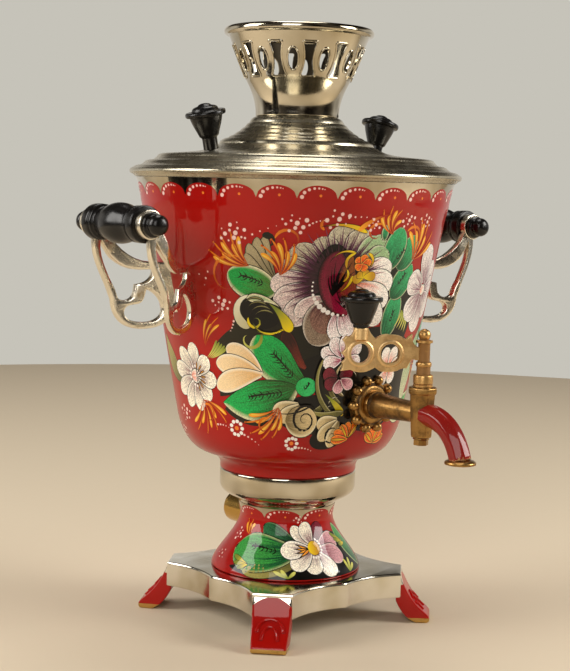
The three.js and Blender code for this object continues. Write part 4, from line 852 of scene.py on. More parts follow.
@dataclass
class Reservoir:
    """The spun body, red outside and tinned inside, with its ring heater."""

    sheet: float = 1.2
    floor_z: float = 101.0
    neck_r: float = 46.0
    bottom: Point = (58.0, 113.2)
    wall_foot: Point = (75.6, 139.0)
    wall_top: Point = (99.9, 268.5)
    wall_steps: int = 30
    shoulder: Point = (102.5, 279.5)
    lip: Point = (106.2, 294.0)
    band_foot: float = 282.6

    def line(self) -> Profile:
        """Return the outer line from the middle of the floor up to the lip."""
        (foot_r, foot_z), (top_r, top_z), (side_r, side_z) = self.wall_foot, self.wall_top, self.shoulder
        r, z, (low_r, low_z) = self.neck_r, self.floor_z, self.bottom
        taper = (top_r - foot_r) / (top_z - foot_z)
        line = Profile(0, z).line((r - 0.6, z)).bow((r, z), (r, z + 0.6), 3).line((r, z + 3))
        line.bow((r + 1, low_z - 3), self.bottom, 10)
        line.curve((low_r + 9, low_z + 2.25), (foot_r - taper * 12, foot_z - 12), self.wall_foot, 16)
        for i in range(1, self.wall_steps + 1):
            line.line((foot_r + (top_r - foot_r) * i / self.wall_steps,
                       foot_z + (top_z - foot_z) * i / self.wall_steps))
        line.curve((top_r + taper * 5, top_z + 5), (side_r - taper * 5, side_z - 5), self.shoulder, 14)
        return line.bow((side_r + 1, side_z + 8), self.lip, 10)

    def build(self) -> None:
        """Build and dress the reservoir."""
        shell = walled(spun(self.line(), 160, closed=False), self.sheet, inner=1)
        for face in shell.faces:
            if face.material_index == 0 and face.calc_center_median().z > self.band_foot * MM:
                face.material_index = 2
        redo("body_shell", "enamel", [RED_ENAMEL, TINNED, POLISHED_NICKEL], shell)
        dress(HEATER_STEEL, "heater_element")
        dress(RUBBER, "heater_gasket_left", "heater_gasket_right", "tap_gasket")
        dress(ZINC_STEEL, "heater_nut_left", "heater_nut_right")


@dataclass
class Knob:
    """A turned black knob: plain stem, flared cone, rolled rim and low cap."""

    stem: float
    bore_r: float = 2.3
    bore_depth: float = 11.3
    stem_r: float = 4.8
    cone: float = 14.0
    rim_r: float = 13.0
    rim: float = 3.2
    cap: float = 8.0

    def line(self) -> Profile:
        """Return the closed outline from the bore's edge."""
        stem, r, rim = self.stem, self.stem_r, self.rim_r
        top, over = stem + self.cone, stem + self.cone + self.rim
        knob = Profile(self.bore_r, 0).line((r - 0.4, 0)).bow((r, 0), (r, 0.4), 3).line((r, stem - 0.6))
        knob.bow((r, stem + 0.4), (6.2, stem + 1.2), 4)
        knob.curve((7.4, stem + 5), (9.6, top - 5), (10.5, top - 0.4), 8)
        knob.bow((10.8, top), (rim - 1, top), 3).bow((rim, top), (rim, top + 1.7), 5)
        knob.bow((rim, over - 0.1), (rim - 1.2, over), 5).line((9.6, over))
        knob.bow((8.9, over), (8.6, over + 0.6), 3)
        knob.curve((8.2, top + 6), (5.6, top + 6.2), (4.4, top + 6.5), 6)
        knob.bow((3.4, top + self.cap), (0, top + self.cap), 6)
        return knob.line((0, self.bore_depth), (self.bore_r, self.bore_depth))

    def build(self, node: str, body: str, *steps: Matrix) -> None:
        """Build the knob along +Z, move it by the steps and put it in a node's place."""
        redo(node, "black", [PHENOLIC], moved(spun(self.line(), 64), *steps), body=body)


@dataclass
class Lid:
    """The stepped lid with its spigot, two leaning knobs and the pierced crown.

    Heights of the outline are over the body's lip. The rim's rounded steps and the inside are given from
    the rim's middle and from the axis.
    """

    lip_z: float = 294.0
    rim_r: float = 110.3
    rim_z: float = 4.0
    rim_round: float = 2.0
    rim_steps: Outline = ((-29, 12.2, -22, 11.8), (-18.6, 11.7, -17.6, 9.2), (-17.0, 7.7, -14.6, 7.5),
                          (-10.6, 7.4, -9.4, 5.6), (-8.4, 4.3, -6.2, 3.9), (-3.4, 3.6, -2.0, 2.2))
    spigot: Outline = ((102.7, 0.3), (102.7, -6), (101.5, -6), (101.5, 5))
    inside: Outline = ((92, 14), (68, 15.8), (52, 22), (44, 27.5), (36, 33.5), (28, 40.2), (0, 40.2))
    seat_r: float = 28.6
    seat_z: float = 41.5
    ring_foot: float = 25.4
    ring_count: int = 6
    ring_swell: float = 0.9
    crease_r: float = 51.7
    knob_at: float = 70.0
    knob_z: float = 17.2
    knob_lift: float = 0.2
    knob_sink: float = 0.8
    knob_lean: float = 13.0
    crown_foot: float = 335.8

    def rings(self, line: Profile) -> None:
        """Add the row of rounded rings between the crown's seat and the crease."""
        start, pull = Vector((self.seat_r + 0.4, self.seat_z - 0.5)), Vector((self.seat_r + 8, 30))
        end = Vector((self.crease_r - 1.4, self.ring_foot))
        for i in range(self.ring_count):
            a, b = i / self.ring_count, (i + 1) / self.ring_count
            near, mid, far = (bowed(start, pull, end, t) for t in (a, (a + b) / 2, b))
            out = Vector((near.y - far.y, far.x - near.x)).normalized()
            line.bow(tuple(mid + out * self.ring_swell + (near - mid) * 0.25), tuple(far), 5)

    def line(self) -> Profile:
        """Return the closed outline of the lid."""
        seat, z, crease, rim_r, rim_z = self.seat_r, self.seat_z, self.crease_r, self.rim_r, self.rim_z
        line = Profile(0, z).line((seat - 1, z)).bow((seat, z), (seat + 0.4, z - 0.5), 3)
        self.rings(line)
        line.bow((crease - 0.4, 25.0), (crease, 23), 3)
        line.curve((crease + 5, 20.2), (crease + 11, 17.8), (self.knob_at + 2, self.knob_z), 14)
        for x, z, end_x, end_z in self.rim_steps:
            line.bow((rim_r + x, rim_z + z), (rim_r + end_x, rim_z + end_z), 5)
        line.arc((rim_r - self.rim_round, rim_z), self.rim_round, 70, -90, 10)
        return line.line((rim_r - 4, 0.3), *self.spigot, *self.inside)

    def build(self) -> None:
        """Build and dress the lid, its knobs and the crown."""
        cover = moved(spun(self.line(), 192), shift(0, 0, self.lip_z))
        redo("lid", "nickel", [SPUN_NICKEL], cover, crease=30, body="lid")
        foot_z = self.lip_z + self.knob_z + self.knob_lift
        for side, word in ((-1, "left"), (1, "right")):
            Knob(7.5).build(f"lid_knob_{word}", "lid", shift(0, 0, self.knob_sink),
                            turn(side * self.knob_lean, "Y"), shift(side * self.knob_at, 0, foot_z))
        dress(ZINC_STEEL, "lid_knob_screw_left", "lid_knob_screw_right", "crown_nut")
        Crown(self.crown_foot).build()


def bowed(start: Vector, pull: Vector, end: Vector, t: float) -> Vector:
    """Return the point of a quadratic curve at a share of its way."""
    return start * (1 - t) ** 2 + pull * 2 * t * (1 - t) + end * t ** 2


@dataclass
class Crown:
    """The pierced flaring gallery with a rolled mouth and raised borders round its windows."""

    foot_z: float
    sheet: float = 1.2
    foot_r: float = 27.8
    mid: Point = (34.5, 23.6)
    mouth_r: float = 47.5
    height: float = 58.0
    wall_steps: int = 14
    bead_r: float = 2.8
    holes: int = 12
    hole_z: float = 35.5
    oval: Point = (3.0, 6.4)
    hourglass: Point = (4.0, 10.2)
    waist: float = 2.35
    border: float = 1.3
    border_gap: float = 0.7
    tool_long: float = 40.0
    tool_at: float = 38.0
    around: int = 144

    def line(self) -> Profile:
        """Return the wall's outer line from the middle of its floor."""
        r, (mid_r, mid_z) = self.foot_r, self.mid
        wide, high = self.mouth_r - mid_r, self.height - self.bead_r - mid_z
        line = Profile(0, 0).line((r - 0.8, 0)).bow((r, 0), (r, 0.8), 3).bow((r, mid_z / 2), self.mid, 14)
        return line.line(*[(mid_r + wide * i / self.wall_steps, mid_z + high * i / self.wall_steps)
                           for i in range(1, self.wall_steps + 1)])

    def window(self, oval: bool, grow: float) -> list[Point]:
        """Return the outline of a window, its middle at the origin.

        Args:
            oval: Whether it is an oval; else it is an hourglass.
            grow: How far the outline lies outside the hole.

        Returns:
            Points in (across, up) millimetres.
        """
        if oval:
            return [polar(TURN * i / 40, (0, 0), self.oval[0] + grow, self.oval[1] + grow) for i in range(40)]
        half, high, waist = self.hourglass[0] + grow, self.hourglass[1] + grow, self.waist + grow
        right = Profile(half - 1, -high).bow((half, -high), (half, -high + 1.4), 4)
        right.bow((2 * waist - half, 0), (half, high - 1.4), 14).bow((half, high), (half - 1, high), 4)
        return right.points + [(-x, -z) for x, z in right.points]

    def build(self) -> None:
        """Build and dress the crown."""
        line = self.line()
        tools, borders = [], []
        for i in range(2 * self.holes):
            heading = turn(i * 180 / self.holes, "Z")
            tool = plate([self.window(i % 2 == 1, 0)], self.tool_long, 0.01)
            tools.append(moved(tool, shift(0, -self.tool_at, self.hole_z), heading))
            edge = [(x, self.hole_z + z) for x, z in self.window(i % 2 == 1, self.border_gap)]
            path = [Vector((x, -math.sqrt(line.radius_at(z) ** 2 - x ** 2), z)) for x, z in edge]
            borders.append(moved(rod([*path, path[0]], self.border), heading))
        pierced = cut(walled(spun(line, self.around, closed=False), self.sheet), joined(tools))
        centre = (self.mouth_r - self.sheet / 2, self.height - self.bead_r)
        bead = Profile(centre[0] + self.bead_r, centre[1]).arc(centre, self.bead_r, 12, 348, 28)
        whole = moved(joined([pierced, spun(bead, self.around), *borders]), shift(0, 0, self.foot_z))
        redo("crown", "nickel", [POLISHED_NICKEL], whole, crease=50, body="lid")
        dress(ZINC_STEEL, "crown_screw")


@dataclass
class Handles:
    """Two turned grips on bent fretwork arms; the arm's outlines are in shares of its height."""

    wall: Profile
    grip_x: float = 137.6
    grip_z: float = 265.0
    bore_r: float = 2.8
    neck_r: float = 9.4
    collar_r: float = 11.4
    grip_half: float = 28.0
    eye_y: float = 31.0
    eye_r: float = 9.0
    eye_thick: float = 5.4
    eye_edge: float = 0.8
    arm_thick: float = 5.0
    arm_edge: float = 1.1
    arm_height: float = 68.0
    bend: float = 12.0
    foot_y: float = 13.0
    foot_z: float = 235.0
    outer: Outline = (
        (-0.018, -0.1), (-0.028, -0.38, 0.137, -0.53, 0.19, -0.72), (0.2, -0.9, 0.287, -0.996, 0.424, -1),
        (0.574, -1, 0.656, -0.94, 0.704, -0.84), (0.824, -0.84), (0.824, -0.365), (0.493, -0.365),
        (0.328, -0.365, 0.185, -0.19, 0.109, -0.02))
    window: Outline = (
        (0.063, -0.174), (0.038, -0.37, 0.199, -0.53, 0.232, -0.684),
        (0.232, -0.753, 0.37, -0.756, 0.378, -0.647), (0.385, -0.58),
        (0.493, -0.566, 0.524, -0.515, 0.526, -0.438), (0.41, -0.444),
        (0.219, -0.447, 0.116, -0.257, 0.063, -0.174))
    loop: Outline = (
        (0.291, -0.846), (0.296, -0.78, 0.343, -0.774, 0.382, -0.769),
        (0.459, -0.762, 0.451, -0.7, 0.474, -0.626), (0.534, -0.635, 0.607, -0.713, 0.613, -0.801),
        (0.616, -0.89, 0.547, -0.932, 0.451, -0.934), (0.343, -0.935, 0.296, -0.903, 0.291, -0.846))

    def arm(self) -> Mesh:
        """Build the rear right arm in place, ending on the body's wall."""
        outlines = [drawn(part, self.arm_height) for part in (self.outer, self.window, self.loop)]
        shape = plate(outlines, self.arm_thick, self.arm_edge)
        for x in (self.bend, self.bend + 3, 30, 38, 46):
            sliced(shape, (x, 0, 0), (1, 0, 0))
        foot_x = math.sqrt(self.wall.radius_at(self.foot_z) ** 2 - self.foot_y ** 2)
        slope = (self.eye_y - self.foot_y) / (self.grip_x - self.bend - foot_x)
        inward = Vector((-1, -slope)).normalized()
        for vert in shape.verts:
            x, y, z = vert.co / MM
            sideways = slope * max(x - self.bend, 0)
            place = Vector((self.grip_x - x, self.eye_y - y - sideways, self.grip_z + z))
            wall = self.wall.radius_at(place.z)
            if place.xy.length < wall:
                along = place.xy.dot(inward)
                place.xy -= inward * (along + math.sqrt(along ** 2 - place.xy.length_squared + wall ** 2))
            vert.co = place * MM
        return outward(joined([shape, self.eye()]))

    def eye(self) -> Mesh:
        """Build the round eye that the grip's rod passes through, in place."""
        r, half, edge = self.eye_r, self.eye_thick / 2, self.eye_edge
        eye = Profile(self.bore_r, -half).line((r - edge, -half)).bow((r, -half), (r, -half + edge), 4)
        eye.line((r, half - edge)).bow((r, half), (r - edge, half), 4).line((self.bore_r, half))
        return moved(spun(eye, 64), turn(-90, "X"), shift(self.grip_x, self.eye_y, self.grip_z))

    def grip(self) -> Mesh:
        """Build a grip along +Z: a bulge between two necks, collars and beads."""
        r, end = self.collar_r, self.grip_half
        half = Profile(12.7, 0).curve((12.7, 8), (9.6, 11), (self.neck_r, 16.5), 12)
        half.bow((self.neck_r, 17.6), (10.4, 17.8), 3).bow((11.6, 18.2), (11.0, 19.6), 3)
        half.bow((9.8, 20.2), (10.2, 20.8), 3).bow((r, 21.2), (r, 22.6), 3)
        half.line((r, end - 1)).bow((r, end), (r - 1, end), 3).line((self.bore_r, end))
        lower = [(r, -z) for r, z in reversed(half.points[1:])]
        return spun(Profile(*lower[0]).line(*lower[1:], *half.points), 72)

    def cap(self) -> Mesh:
        """Build an end cap along +Z with a flange, a neck and a ball end."""
        cap = Profile(self.bore_r, 0).line((7.0, 0)).bow((7.6, 0), (7.6, 0.7), 3).line((7.6, 1.8))
        cap.bow((7.6, 2.4), (6.8, 2.5), 3).bow((5.7, 2.8), (5.9, 4.0), 4)
        cap.curve((6.9, 5.0), (6.9, 9.8), (3.0, 11.0), 8).bow((1.4, 11.3), (0, 11.3), 3)
        return spun(cap.line((0, 5.5), (self.bore_r, 5.5)), 64)

    def build(self) -> None:
        """Build and dress both handles."""
        cap_face = self.eye_y + self.eye_thick / 2 + 0.3
        for side, word in ((-1, "left"), (1, "right")):
            at = shift(side * self.grip_x, 0, self.grip_z)
            redo(f"handle_grip_{word}", "black", [PHENOLIC], moved(self.grip(), turn(-90, "X"), at))
            for end, where in ((1, "rear"), (-1, "front")):
                arm = outward(moved(self.arm(), Matrix.Diagonal((side, end, 1, 1))))
                redo(f"handle_arm_{word}_{where}", "brass", [ARM_BRASS], arm, crease=40, flat=True)
                cap = moved(self.cap(), turn(-90 * end, "X"), shift(0, end * cap_face, 0), at)
                redo(f"grip_cap_{word}_{where}", "black", [PHENOLIC], cap)
                dress(PLAIN_BRASS, *(f"arm_screw_{word}_{where}_{i}" for i in (1, 2)))
            dress(ZINC_STEEL, f"grip_rod_{word}")


@dataclass
class Tap:
    """The plug tap: rosette, pipe, eight-sided barrel and spout, turned plug and fretwork key."""

    wall: Profile
    height: float = 154.0
    pipe: float = 44.4
    pipe_bore: float = 3.6
    pipe_root: float = 62.0
    rosette_rise: float = 4.2
    rosette_thick: float = 9.0
    rosette_bore: float = 6.3
    beads: int = 10
    bead_ring: float = 15.6
    bead_r: float = 3.2
    bead_long: float = 1.25
    barrel: Point = (139.4, 170.4)
    barrel_bore: float = 4.4
    spout_r: float = 7.2
    spout_reach: float = 33.7
    mouth_z: float = 127.8
    plug_foot: float = 134.6
    stem_r: float = 6.1
    ball_r: float = 3.8
    key_angle: float = 150.0
    key_rise: float = 20.4
    key_thick: float = 3.6
    key_half: float = 11.4
    key_tail: float = 12.0
    ring_near: float = 21.4
    ring_far: float = 39.8
    ring_r: float = 6.0
    lug_r: float = 4.4
    lug_rise: float = 15.4
    pin_bore: float = 2.3
    tongue: Sequence[float] = (5, 2.6, 8)
    tongue_x: float = 3.2

    def __post_init__(self) -> None:
        """Work out the places along the tap from the body's axis."""
        self.face = self.wall.radius_at(self.height) + self.rosette_rise
        self.valve = self.face + self.pipe

    def forward(self) -> Matrix:
        """Return the turn from a piece about Z to one along -Y at the tap's height."""
        return shift(0, 0, self.height) @ turn(90, "X")

    def rosette(self) -> Mesh:
        """Build the beaded rose."""
        face, root, bore = self.face, self.face - self.rosette_thick, self.rosette_bore
        disc = Profile(bore, root).line((14.6, root), (14.6, face - 1)).bow((14.6, face), (13.6, face), 4)
        disc.line((12.4, face)).bow((11.8, face + 1.2), (10.6, face + 1.2), 3).line((bore, face + 1.2))
        parts = [spun(disc, 72)]
        for i in range(self.beads):
            bead = bmesh.new()
            bmesh.ops.create_uvsphere(bead, u_segments=20, v_segments=12, radius=self.bead_r * MM)
            x, y = polar(TURN * i / self.beads, across=self.bead_ring)
            parts.append(moved(bead, Matrix.Diagonal((1, 1, self.bead_long, 1)), shift(x, y, face - 1.0)))
        return moved(joined(parts), self.forward())

    def pipe_shape(self) -> Mesh:
        """Build the threaded tail, the flange and the pipe up to the barrel."""
        seat, bore, end = self.face + 1.5, self.pipe_bore, self.valve - 2
        pipe = Profile(bore, self.pipe_root).line((6, self.pipe_root), (6, seat), (8.9, seat))
        pipe.bow((9.4, seat + 1.3), (8.9, seat + 2.6), 4).line((8.0, seat + 2.6))
        pipe.bow((7.2, seat + 4), (7.9, seat + 6), 4)
        pipe.curve((7.6, seat + 14), (6.6, seat + 22), (6.4, end), 8).line((bore, end))
        return moved(spun(pipe, 64), self.forward())

    def barrel_shape(self) -> Mesh:
        """Build the eight-sided barrel."""
        low, high = self.barrel
        barrel = Profile(self.barrel_bore, low).line((6.0, low)).bow((6.6, low), (6.8, low + 1.6), 2)
        barrel.line((8.2, high - 4.4)).bow((9.2, high - 3.6), (9.2, high - 3))
        barrel.line((9.2, high - 0.6), (8.6, high), (5.7, high))
        return rounded(moved(spun(barrel, 8), turn(22.5, "Z"), shift(0, -self.valve, 0)), 0.5, 38)

    def spout_shape(self) -> Mesh:
        """Build the eight-sided spout that bends down to the mouth."""
        reach, z = self.spout_reach, self.height
        knots = [Vector((0, -self.valve - out, up)) for out, up in (
            (2, z), (reach / 2, z), (reach - 5.4, z - 7.2), (reach, self.mouth_z + 2))]
        eight = [polar(TURN * (i + 0.5) / 8, across=self.spout_r) for i in range(8)]
        nose = rounded(swept(eight, interpolate_bezier(*knots, 24)), 0.6, 30)
        for face in nose.faces:
            face.material_index = 1
        return nose

    def mouth_shape(self) -> Mesh:
        """Build the round lip at the spout's mouth."""
        z, bore = self.mouth_z, self.barrel_bore
        lip = Profile(bore, z).line((9.0, z)).bow((9.5, z), (9.5, z + 0.6), 3).line((9.5, z + 1.2))
        lip.bow((9.4, z + 2), (7.6, z + 2.6), 3).line((bore, z + 3))
        return moved(spun(lip, 64), shift(0, -self.valve - self.spout_reach, 0))

    def plug(self) -> Mesh:
        """Build the tapered plug with its turned stem and ball."""
        foot, (low, z), r = self.plug_foot, self.barrel, self.stem_r
        plug = Profile(0, foot).line((2.4, foot), (2.4, low), (4, low), (5.4, z + 0.3), (r, z + 0.3))
        plug.line((r, z + 1.4)).bow((5.4, z + 1.8), (r, z + 2.4), 3).line((r, z + 6.6))
        plug.bow((r, z + 7.6), (r - 1, z + 7.6), 3).line((4.3, z + 7.9), (4.3, z + 12.4))
        plug.bow((4.9, z + 12.6), (4.9, z + 14), 3).bow((4.9, z + 15.4), (3.7, z + 15.6), 3)
        plug.line((3.7, z + 26.4)).bow((3.8, z + 27.2), (5.2, z + 27.2), 3).line((5.2, z + 28.6))
        plug.line((3.0, z + 28.9)).arc((0, z + 31.8), self.ball_r, -38, 90, 12)
        return moved(spun(plug, 48), shift(0, -self.valve, 0))

    def key_outline(self) -> list[Point]:
        """Return the key's fretwork outline from the plug's axis outwards."""
        n, f, h, tail, ring = self.ring_near, self.ring_far, self.key_half, self.key_tail, self.ring_r
        mid, lug = (n + f) / 2, self.lug_r
        return drawn((
            (4, -0.35 * h), (0.37 * n, -0.3 * h), (0.51 * n, -0.79 * h),
            (0.65 * n, -0.75 * h, 0.77 * n, -0.91 * h), (n, -1.05 * h, n + ring, -0.95 * h),
            (mid, -0.75 * h), (f - ring, -0.91 * h),
            (f, -1.14 * h, f + ring, -0.88 * h), (f + tail, -0.95 * h),
            (f + 0.78 * tail, -0.61 * h, f + 0.97 * tail, -0.49 * h),
            (f + 0.56 * tail, -0.26 * h, f + tail, 0),
            (f + 0.56 * tail, 0.26 * h, f + 0.92 * tail, 0.7 * h), (f + 0.74 * tail, 0.93 * h),
            (f + ring, 0.79 * h, f + lug, self.lug_rise - 2), (f + lug, self.lug_rise),
            (f - lug, self.lug_rise), (f - ring, h, mid, 0.79 * h), (n + 0.7 * ring, 1.12 * h, n, h),
            (n - ring, 1.05 * h, 0.56 * n, 0.75 * h), (0.37 * n, 1.05 * h), (0.4 * n, 0.53 * h, 4, 0.35 * h)),
            steps=6)

    def key(self) -> Mesh:
        """Build the key in its own frame along +X from the plug's axis."""
        rings = (self.ring_near, self.ring_far)
        holes = [[polar(TURN * i / 48, (at, 0), self.ring_r) for i in range(48)] for at in rings]
        parts = [plate([self.key_outline(), *holes], self.key_thick, 0.6)]
        for at in rings:
            rim = Profile(6, -2.5).line((6.6, -2.5)).bow((7.4, -2.9), (8.0, -2.2), 3)
            rim.line((8.7, -1.6), (8.7, 1.6), (8.0, 2.2)).bow((7.4, 2.9), (6.6, 2.5), 3).line((6, 2.5))
            parts.append(moved(spun(rim, 56), turn(-90, "X"), shift(at, 0, 0)))
        r, top, foot = self.lug_r, self.lug_rise, self.lug_rise - 7
        lug = Profile(self.pin_bore, foot).line((r, foot), (r, top - 0.5)).bow((r, top), (r - 0.5, top), 3)
        parts.append(moved(spun(lug.line((self.pin_bore, top)), 40), shift(self.ring_far, 0, 0)))
        tongue = bmesh.new()
        bmesh.ops.create_cube(tongue, size=MM, matrix=shift(self.tongue_x, 0, 0)
                              @ Matrix.Diagonal((*self.tongue, 1)))
        parts.append(rounded(tongue, 0.3))
        return joined(parts)

    def build(self) -> None:
        """Build and dress the tap."""
        redo("tap_rosette", "bronze", [BRONZE], self.rosette())
        body = joined([self.pipe_shape(), self.barrel_shape(), self.spout_shape(), self.mouth_shape()])
        redo("tap_body", "bronze", [BRONZE, SPOUT_PAINT], body, crease=25)
        redo("tap_plug", "bronze", [TURNED_BRONZE], self.plug(), body="key")
        place = shift(0, -self.valve, self.barrel[1] + self.key_rise) @ turn(self.key_angle, "Z")
        redo("tap_key", "bronze", [KEY_BRASS], moved(self.key(), place), flat=True, body="key")
        Knob(1.5).build("key_knob", "key", shift(self.ring_far, 0, self.lug_rise + 0.3), place)
        dress(BRONZE, "tap_back_nut", "plug_washer", "plug_nut")
        dress(ZINC_STEEL, "key_knob_pin")


# Painting


class Shape(Enum):
    """How a brush stroke's width changes from its start to its end."""

    PETAL = "narrow root, round tip"
    LEAF = "pointed at both ends"
    COMMA = "round head, long thin tail"
    BAND = "even, with soft ends"
    DISC = "oval"

    def width(self, t: float) -> float:
        """Return the share of the full width at a share of the length."""
        if self is Shape.PETAL:
            peak = 0.64
            if t < peak:
                return 0.28 + 0.72 * math.sin(math.pi / 2 * t / peak)
            return math.sqrt(max(1 - ((t - peak) / (1 - peak)) ** 2, 0))
        if self is Shape.LEAF:
            return max(math.sin(math.pi * t ** 0.9), 0) ** 0.8
        if self is Shape.COMMA:
            head = 0.2
            if t < head:
                return math.sqrt(max(1 - (1 - t / head) ** 2, 0))
            return ((1 - t) / (1 - head)) ** 0.9
        if self is Shape.BAND:
            return min(1, 6 * t, 6 * (1 - t)) ** 0.6
        return math.sqrt(max(1 - (2 * t - 1) ** 2, 0))


PETAL, LEAF, COMMA, BAND, DISC = Shape
# Layers of the painted surface: colours of each stroke, then its own coordinates and its edge
LAYERS = ("root", "tip", "rim", "stroke", "margin")
# Angle in degrees from one strewn dot to the next, which spreads them evenly
GOLDEN_ANGLE = 137.5


@dataclass(frozen=True)
class Paint:
    """The colours of one brush load: at the stroke's root, at its tip and along its edge.

    Attributes:
        streak: How far fine lines carry the root's colour outwards.
        side: Where the edge shows: -1 left only, 1 right only, 0 on both sides.
        ink: Width of the dark outline in millimetres.
    """

    root: str
    tip: str
    rim: str = "000000"
    rim_mm: float = 0.0
    streak: float = 0.0
    side: float = 0.0
    ink: float = 0.5


@dataclass(frozen=True)
class BrushWork(Finish):
    """Oil colours laid by brush over the enamel and lacquered with it: streaks, stipple and ink lines.

    The stipple is drawn coarser than real so that it shows.
    """

    stipple_mm: float = 0.7
    ink: str = "120b0a"

    def shade(self, tree: Tree, shader: Node, place: Socket) -> None:
        """Fill in the shader."""
        root, tip, edging, stroke, margin = (add_node(tree, "Attribute", attribute_name=name)
                                             for name in LAYERS)
        across, along, streak = add_node(tree, "SeparateXYZ", {0: stroke.outputs["Vector"]}).outputs
        edge, rim, ink = add_node(tree, "SeparateXYZ", {0: margin.outputs["Vector"]}).outputs
        side = margin.outputs["Alpha"]
        # Fine lines run along the stroke and carry the root's colour outwards
        seed = add_node(tree, "CombineXYZ", {2: stroke.outputs["Alpha"]})
        lines = add_node(tree, "VectorMath", {0: stroke.outputs["Vector"], 1: (9.0, 1.3, 0.0), 2: seed},
                         operation="MULTIPLY_ADD")
        hair = add_node(tree, "TexNoise", {"Vector": lines, "Scale": 1.6, "Detail": 2.0})
        pull = add_node(tree, "Math", {0: hair, 1: 2.2, 2: -1.1}, operation="MULTIPLY_ADD")
        reach = add_node(tree, "Math", {0: pull, 1: streak, 2: along}, operation="MULTIPLY_ADD")
        share = add_node(tree, "MapRange", {"Value": reach, "From Min": 0.08, "From Max": 0.72})
        body = add_node(tree, "Mix", {0: share, 6: root, 7: tip}, data_type="RGBA").outputs[2]
        # The edging is dabbed on, so its inner edge is rough; a sided one fades out across the stroke
        dots = add_node(tree, "TexNoise", {"Vector": place, "Scale": per_mm(self.stipple_mm), "Detail": 1.0})
        dabbed = add_node(tree, "Math", {0: dots, 1: 1.6, 2: edge}, operation="MULTIPLY_ADD")
        outer = add_node(tree, "Math", {0: rim, 1: 1.3, 2: 0.8}, operation="MULTIPLY_ADD")
        inner = add_node(tree, "Math", {0: rim, 1: 0.4, 2: 0.8}, operation="MULTIPLY_ADD")
        near = add_node(tree, "MapRange", {"Value": dabbed, "From Min": outer, "From Max": inner})
        sided = add_node(tree, "Math", {0: side}, operation="ABSOLUTE")
        even = add_node(tree, "Math", {0: 1.0, 1: sided}, operation="SUBTRACT")
        lean = add_node(tree, "Math", {0: side, 1: across}, operation="MULTIPLY")
        turned = add_node(tree, "Math", {0: lean, 1: 3.0, 2: even}, operation="MULTIPLY_ADD")
        held = add_node(tree, "MapRange", {"Value": turned})
        edged = add_node(tree, "Math", {0: rim, 1: 0.01}, operation="GREATER_THAN")
        there = add_node(tree, "Math", {0: held, 1: edged}, operation="MULTIPLY")
        covered = add_node(tree, "Math", {0: near, 1: there}, operation="MULTIPLY")
        colour = add_node(tree, "Mix", {0: covered, 6: body, 7: edging}, data_type="RGBA").outputs[2]
        # Stipple: lighter and darker dabs where the brush drags
        tone = add_node(tree, "MapRange", {"Value": dots, "From Min": 0.3, "From Max": 0.7, "To Min": -0.45,
                                           "To Max": 0.4})
        dry = add_node(tree, "MapRange", {"Value": streak, "From Max": 0.8})
        light = add_node(tree, "Math", {0: tone, 1: dry, 2: 1.0}, operation="MULTIPLY_ADD")
        lit = add_node(tree, "VectorMath", {0: colour, "Scale": light}, operation="SCALE")
        # Ink line along the stroke's edge
        gap = add_node(tree, "Math", {0: edge, 1: ink}, operation="SUBTRACT")
        clear = add_node(tree, "MapRange", {"Value": gap, "From Min": -0.08, "From Max": 0.08})
        final = add_node(tree, "Mix", {0: clear, 6: linear(self.ink), 7: lit}, data_type="RGBA").outputs[2]
        fill(shader, {**LACQUER, "Coat Roughness": 0.04, "Base Color": final})


BRUSH_WORK = BrushWork("oil_colour_brushed_lacquered")

BEIGE = Paint("5a1a30", "c9bea2", "e8dfca", 1.4, 0.85)
ROSE = Paint("86204a", "e8d4cc", "f6ece4", 1.4, 0.9)
BLUSH = Paint("ea8468", "fbf3e8", "f8f6e8", 1.5, 0.6)
PALE_GREEN = Paint("c8c8a0", "9dbb88", "e4e2c8", 1.2, 0.6)
DUSKY = Paint("7c2740", "dca6ac", "f2dcd6", 1.2, 0.7)
DARK_PETAL = Paint("4a1028", "917d68", "d8ccbc", 1.8, 0.9)
WHITE_PETAL = Paint("a03058", "fdf3f0", "ffffff", 1.2, 0.7)
GREY_PETAL = Paint("8a5c6c", "eee4dc", "fbf6ee", 1.4, 0.8)
CREAM_PETAL = Paint("8a6468", "fbf2dc", "fffaec", 1.4, 0.7)
WINE = Paint("3f0d18", "7a2030", "4a1420", 1.0, 0.6)
HEART = Paint("84102e", "8a4a1a", "5a0b1e", 2.4, 0.6, -1.0)
MAROON = Paint("460a22", "8a6456", ink=0.0, streak=0.95)
CRIMSON = Paint("8e1236", "74102a", "3c0814", 2.2, 0.5)
PLUM_FEATHER = Paint("2c0a18", "74405a", ink=0.0)
LEAF_GREEN = Paint("4f7a30", "17a548", "e4dcb4", 2.4, 0.6)
DEEP_GREEN = Paint("0a4f2e", "2aa462", "cfd0a6", 1.2, 0.7)
LEAF_LEFT = Paint("2c5a26", "18ad50", "dcd8aa", 3.4, 0.7, -1.0)
FOOT_LEAF = Paint("12462a", "3c9a40", "a9b47c", 1.6, 0.9)
DARK_LEAF = Paint("10241a", "2e6a40", "8c9a6a", 1.0, 0.8)
BRIGHT_GREEN = Paint("2cb65c", "36cc72", "148a42", 0.8, 0.4)
SPRIG = Paint("8f9a34", "d8d46a", ink=0.0)
OLIVE = Paint("5e5a2c", "a49a52", "c8bf86", 1.0, 0.3, 1.0)
PLUME = Paint("5a5233", "b3a27c", "8a7c58", 1.0, 0.3)
DARK_OLIVE = Paint("16140c", "262214", ink=0.0)
PEACH = Paint("ecb874", "fbdcaa", "fff0d6", 2.0, 0.2)
SHELL = Paint("7d6a40", "dcc490", "f2e4bc", 2.2, 0.3, 1.0)
CREAM = Paint("cfc69a", "f0e8cc", ink=0.3)
YELLOW = Paint("f6d713", "7f8a2e", ink=0.25)
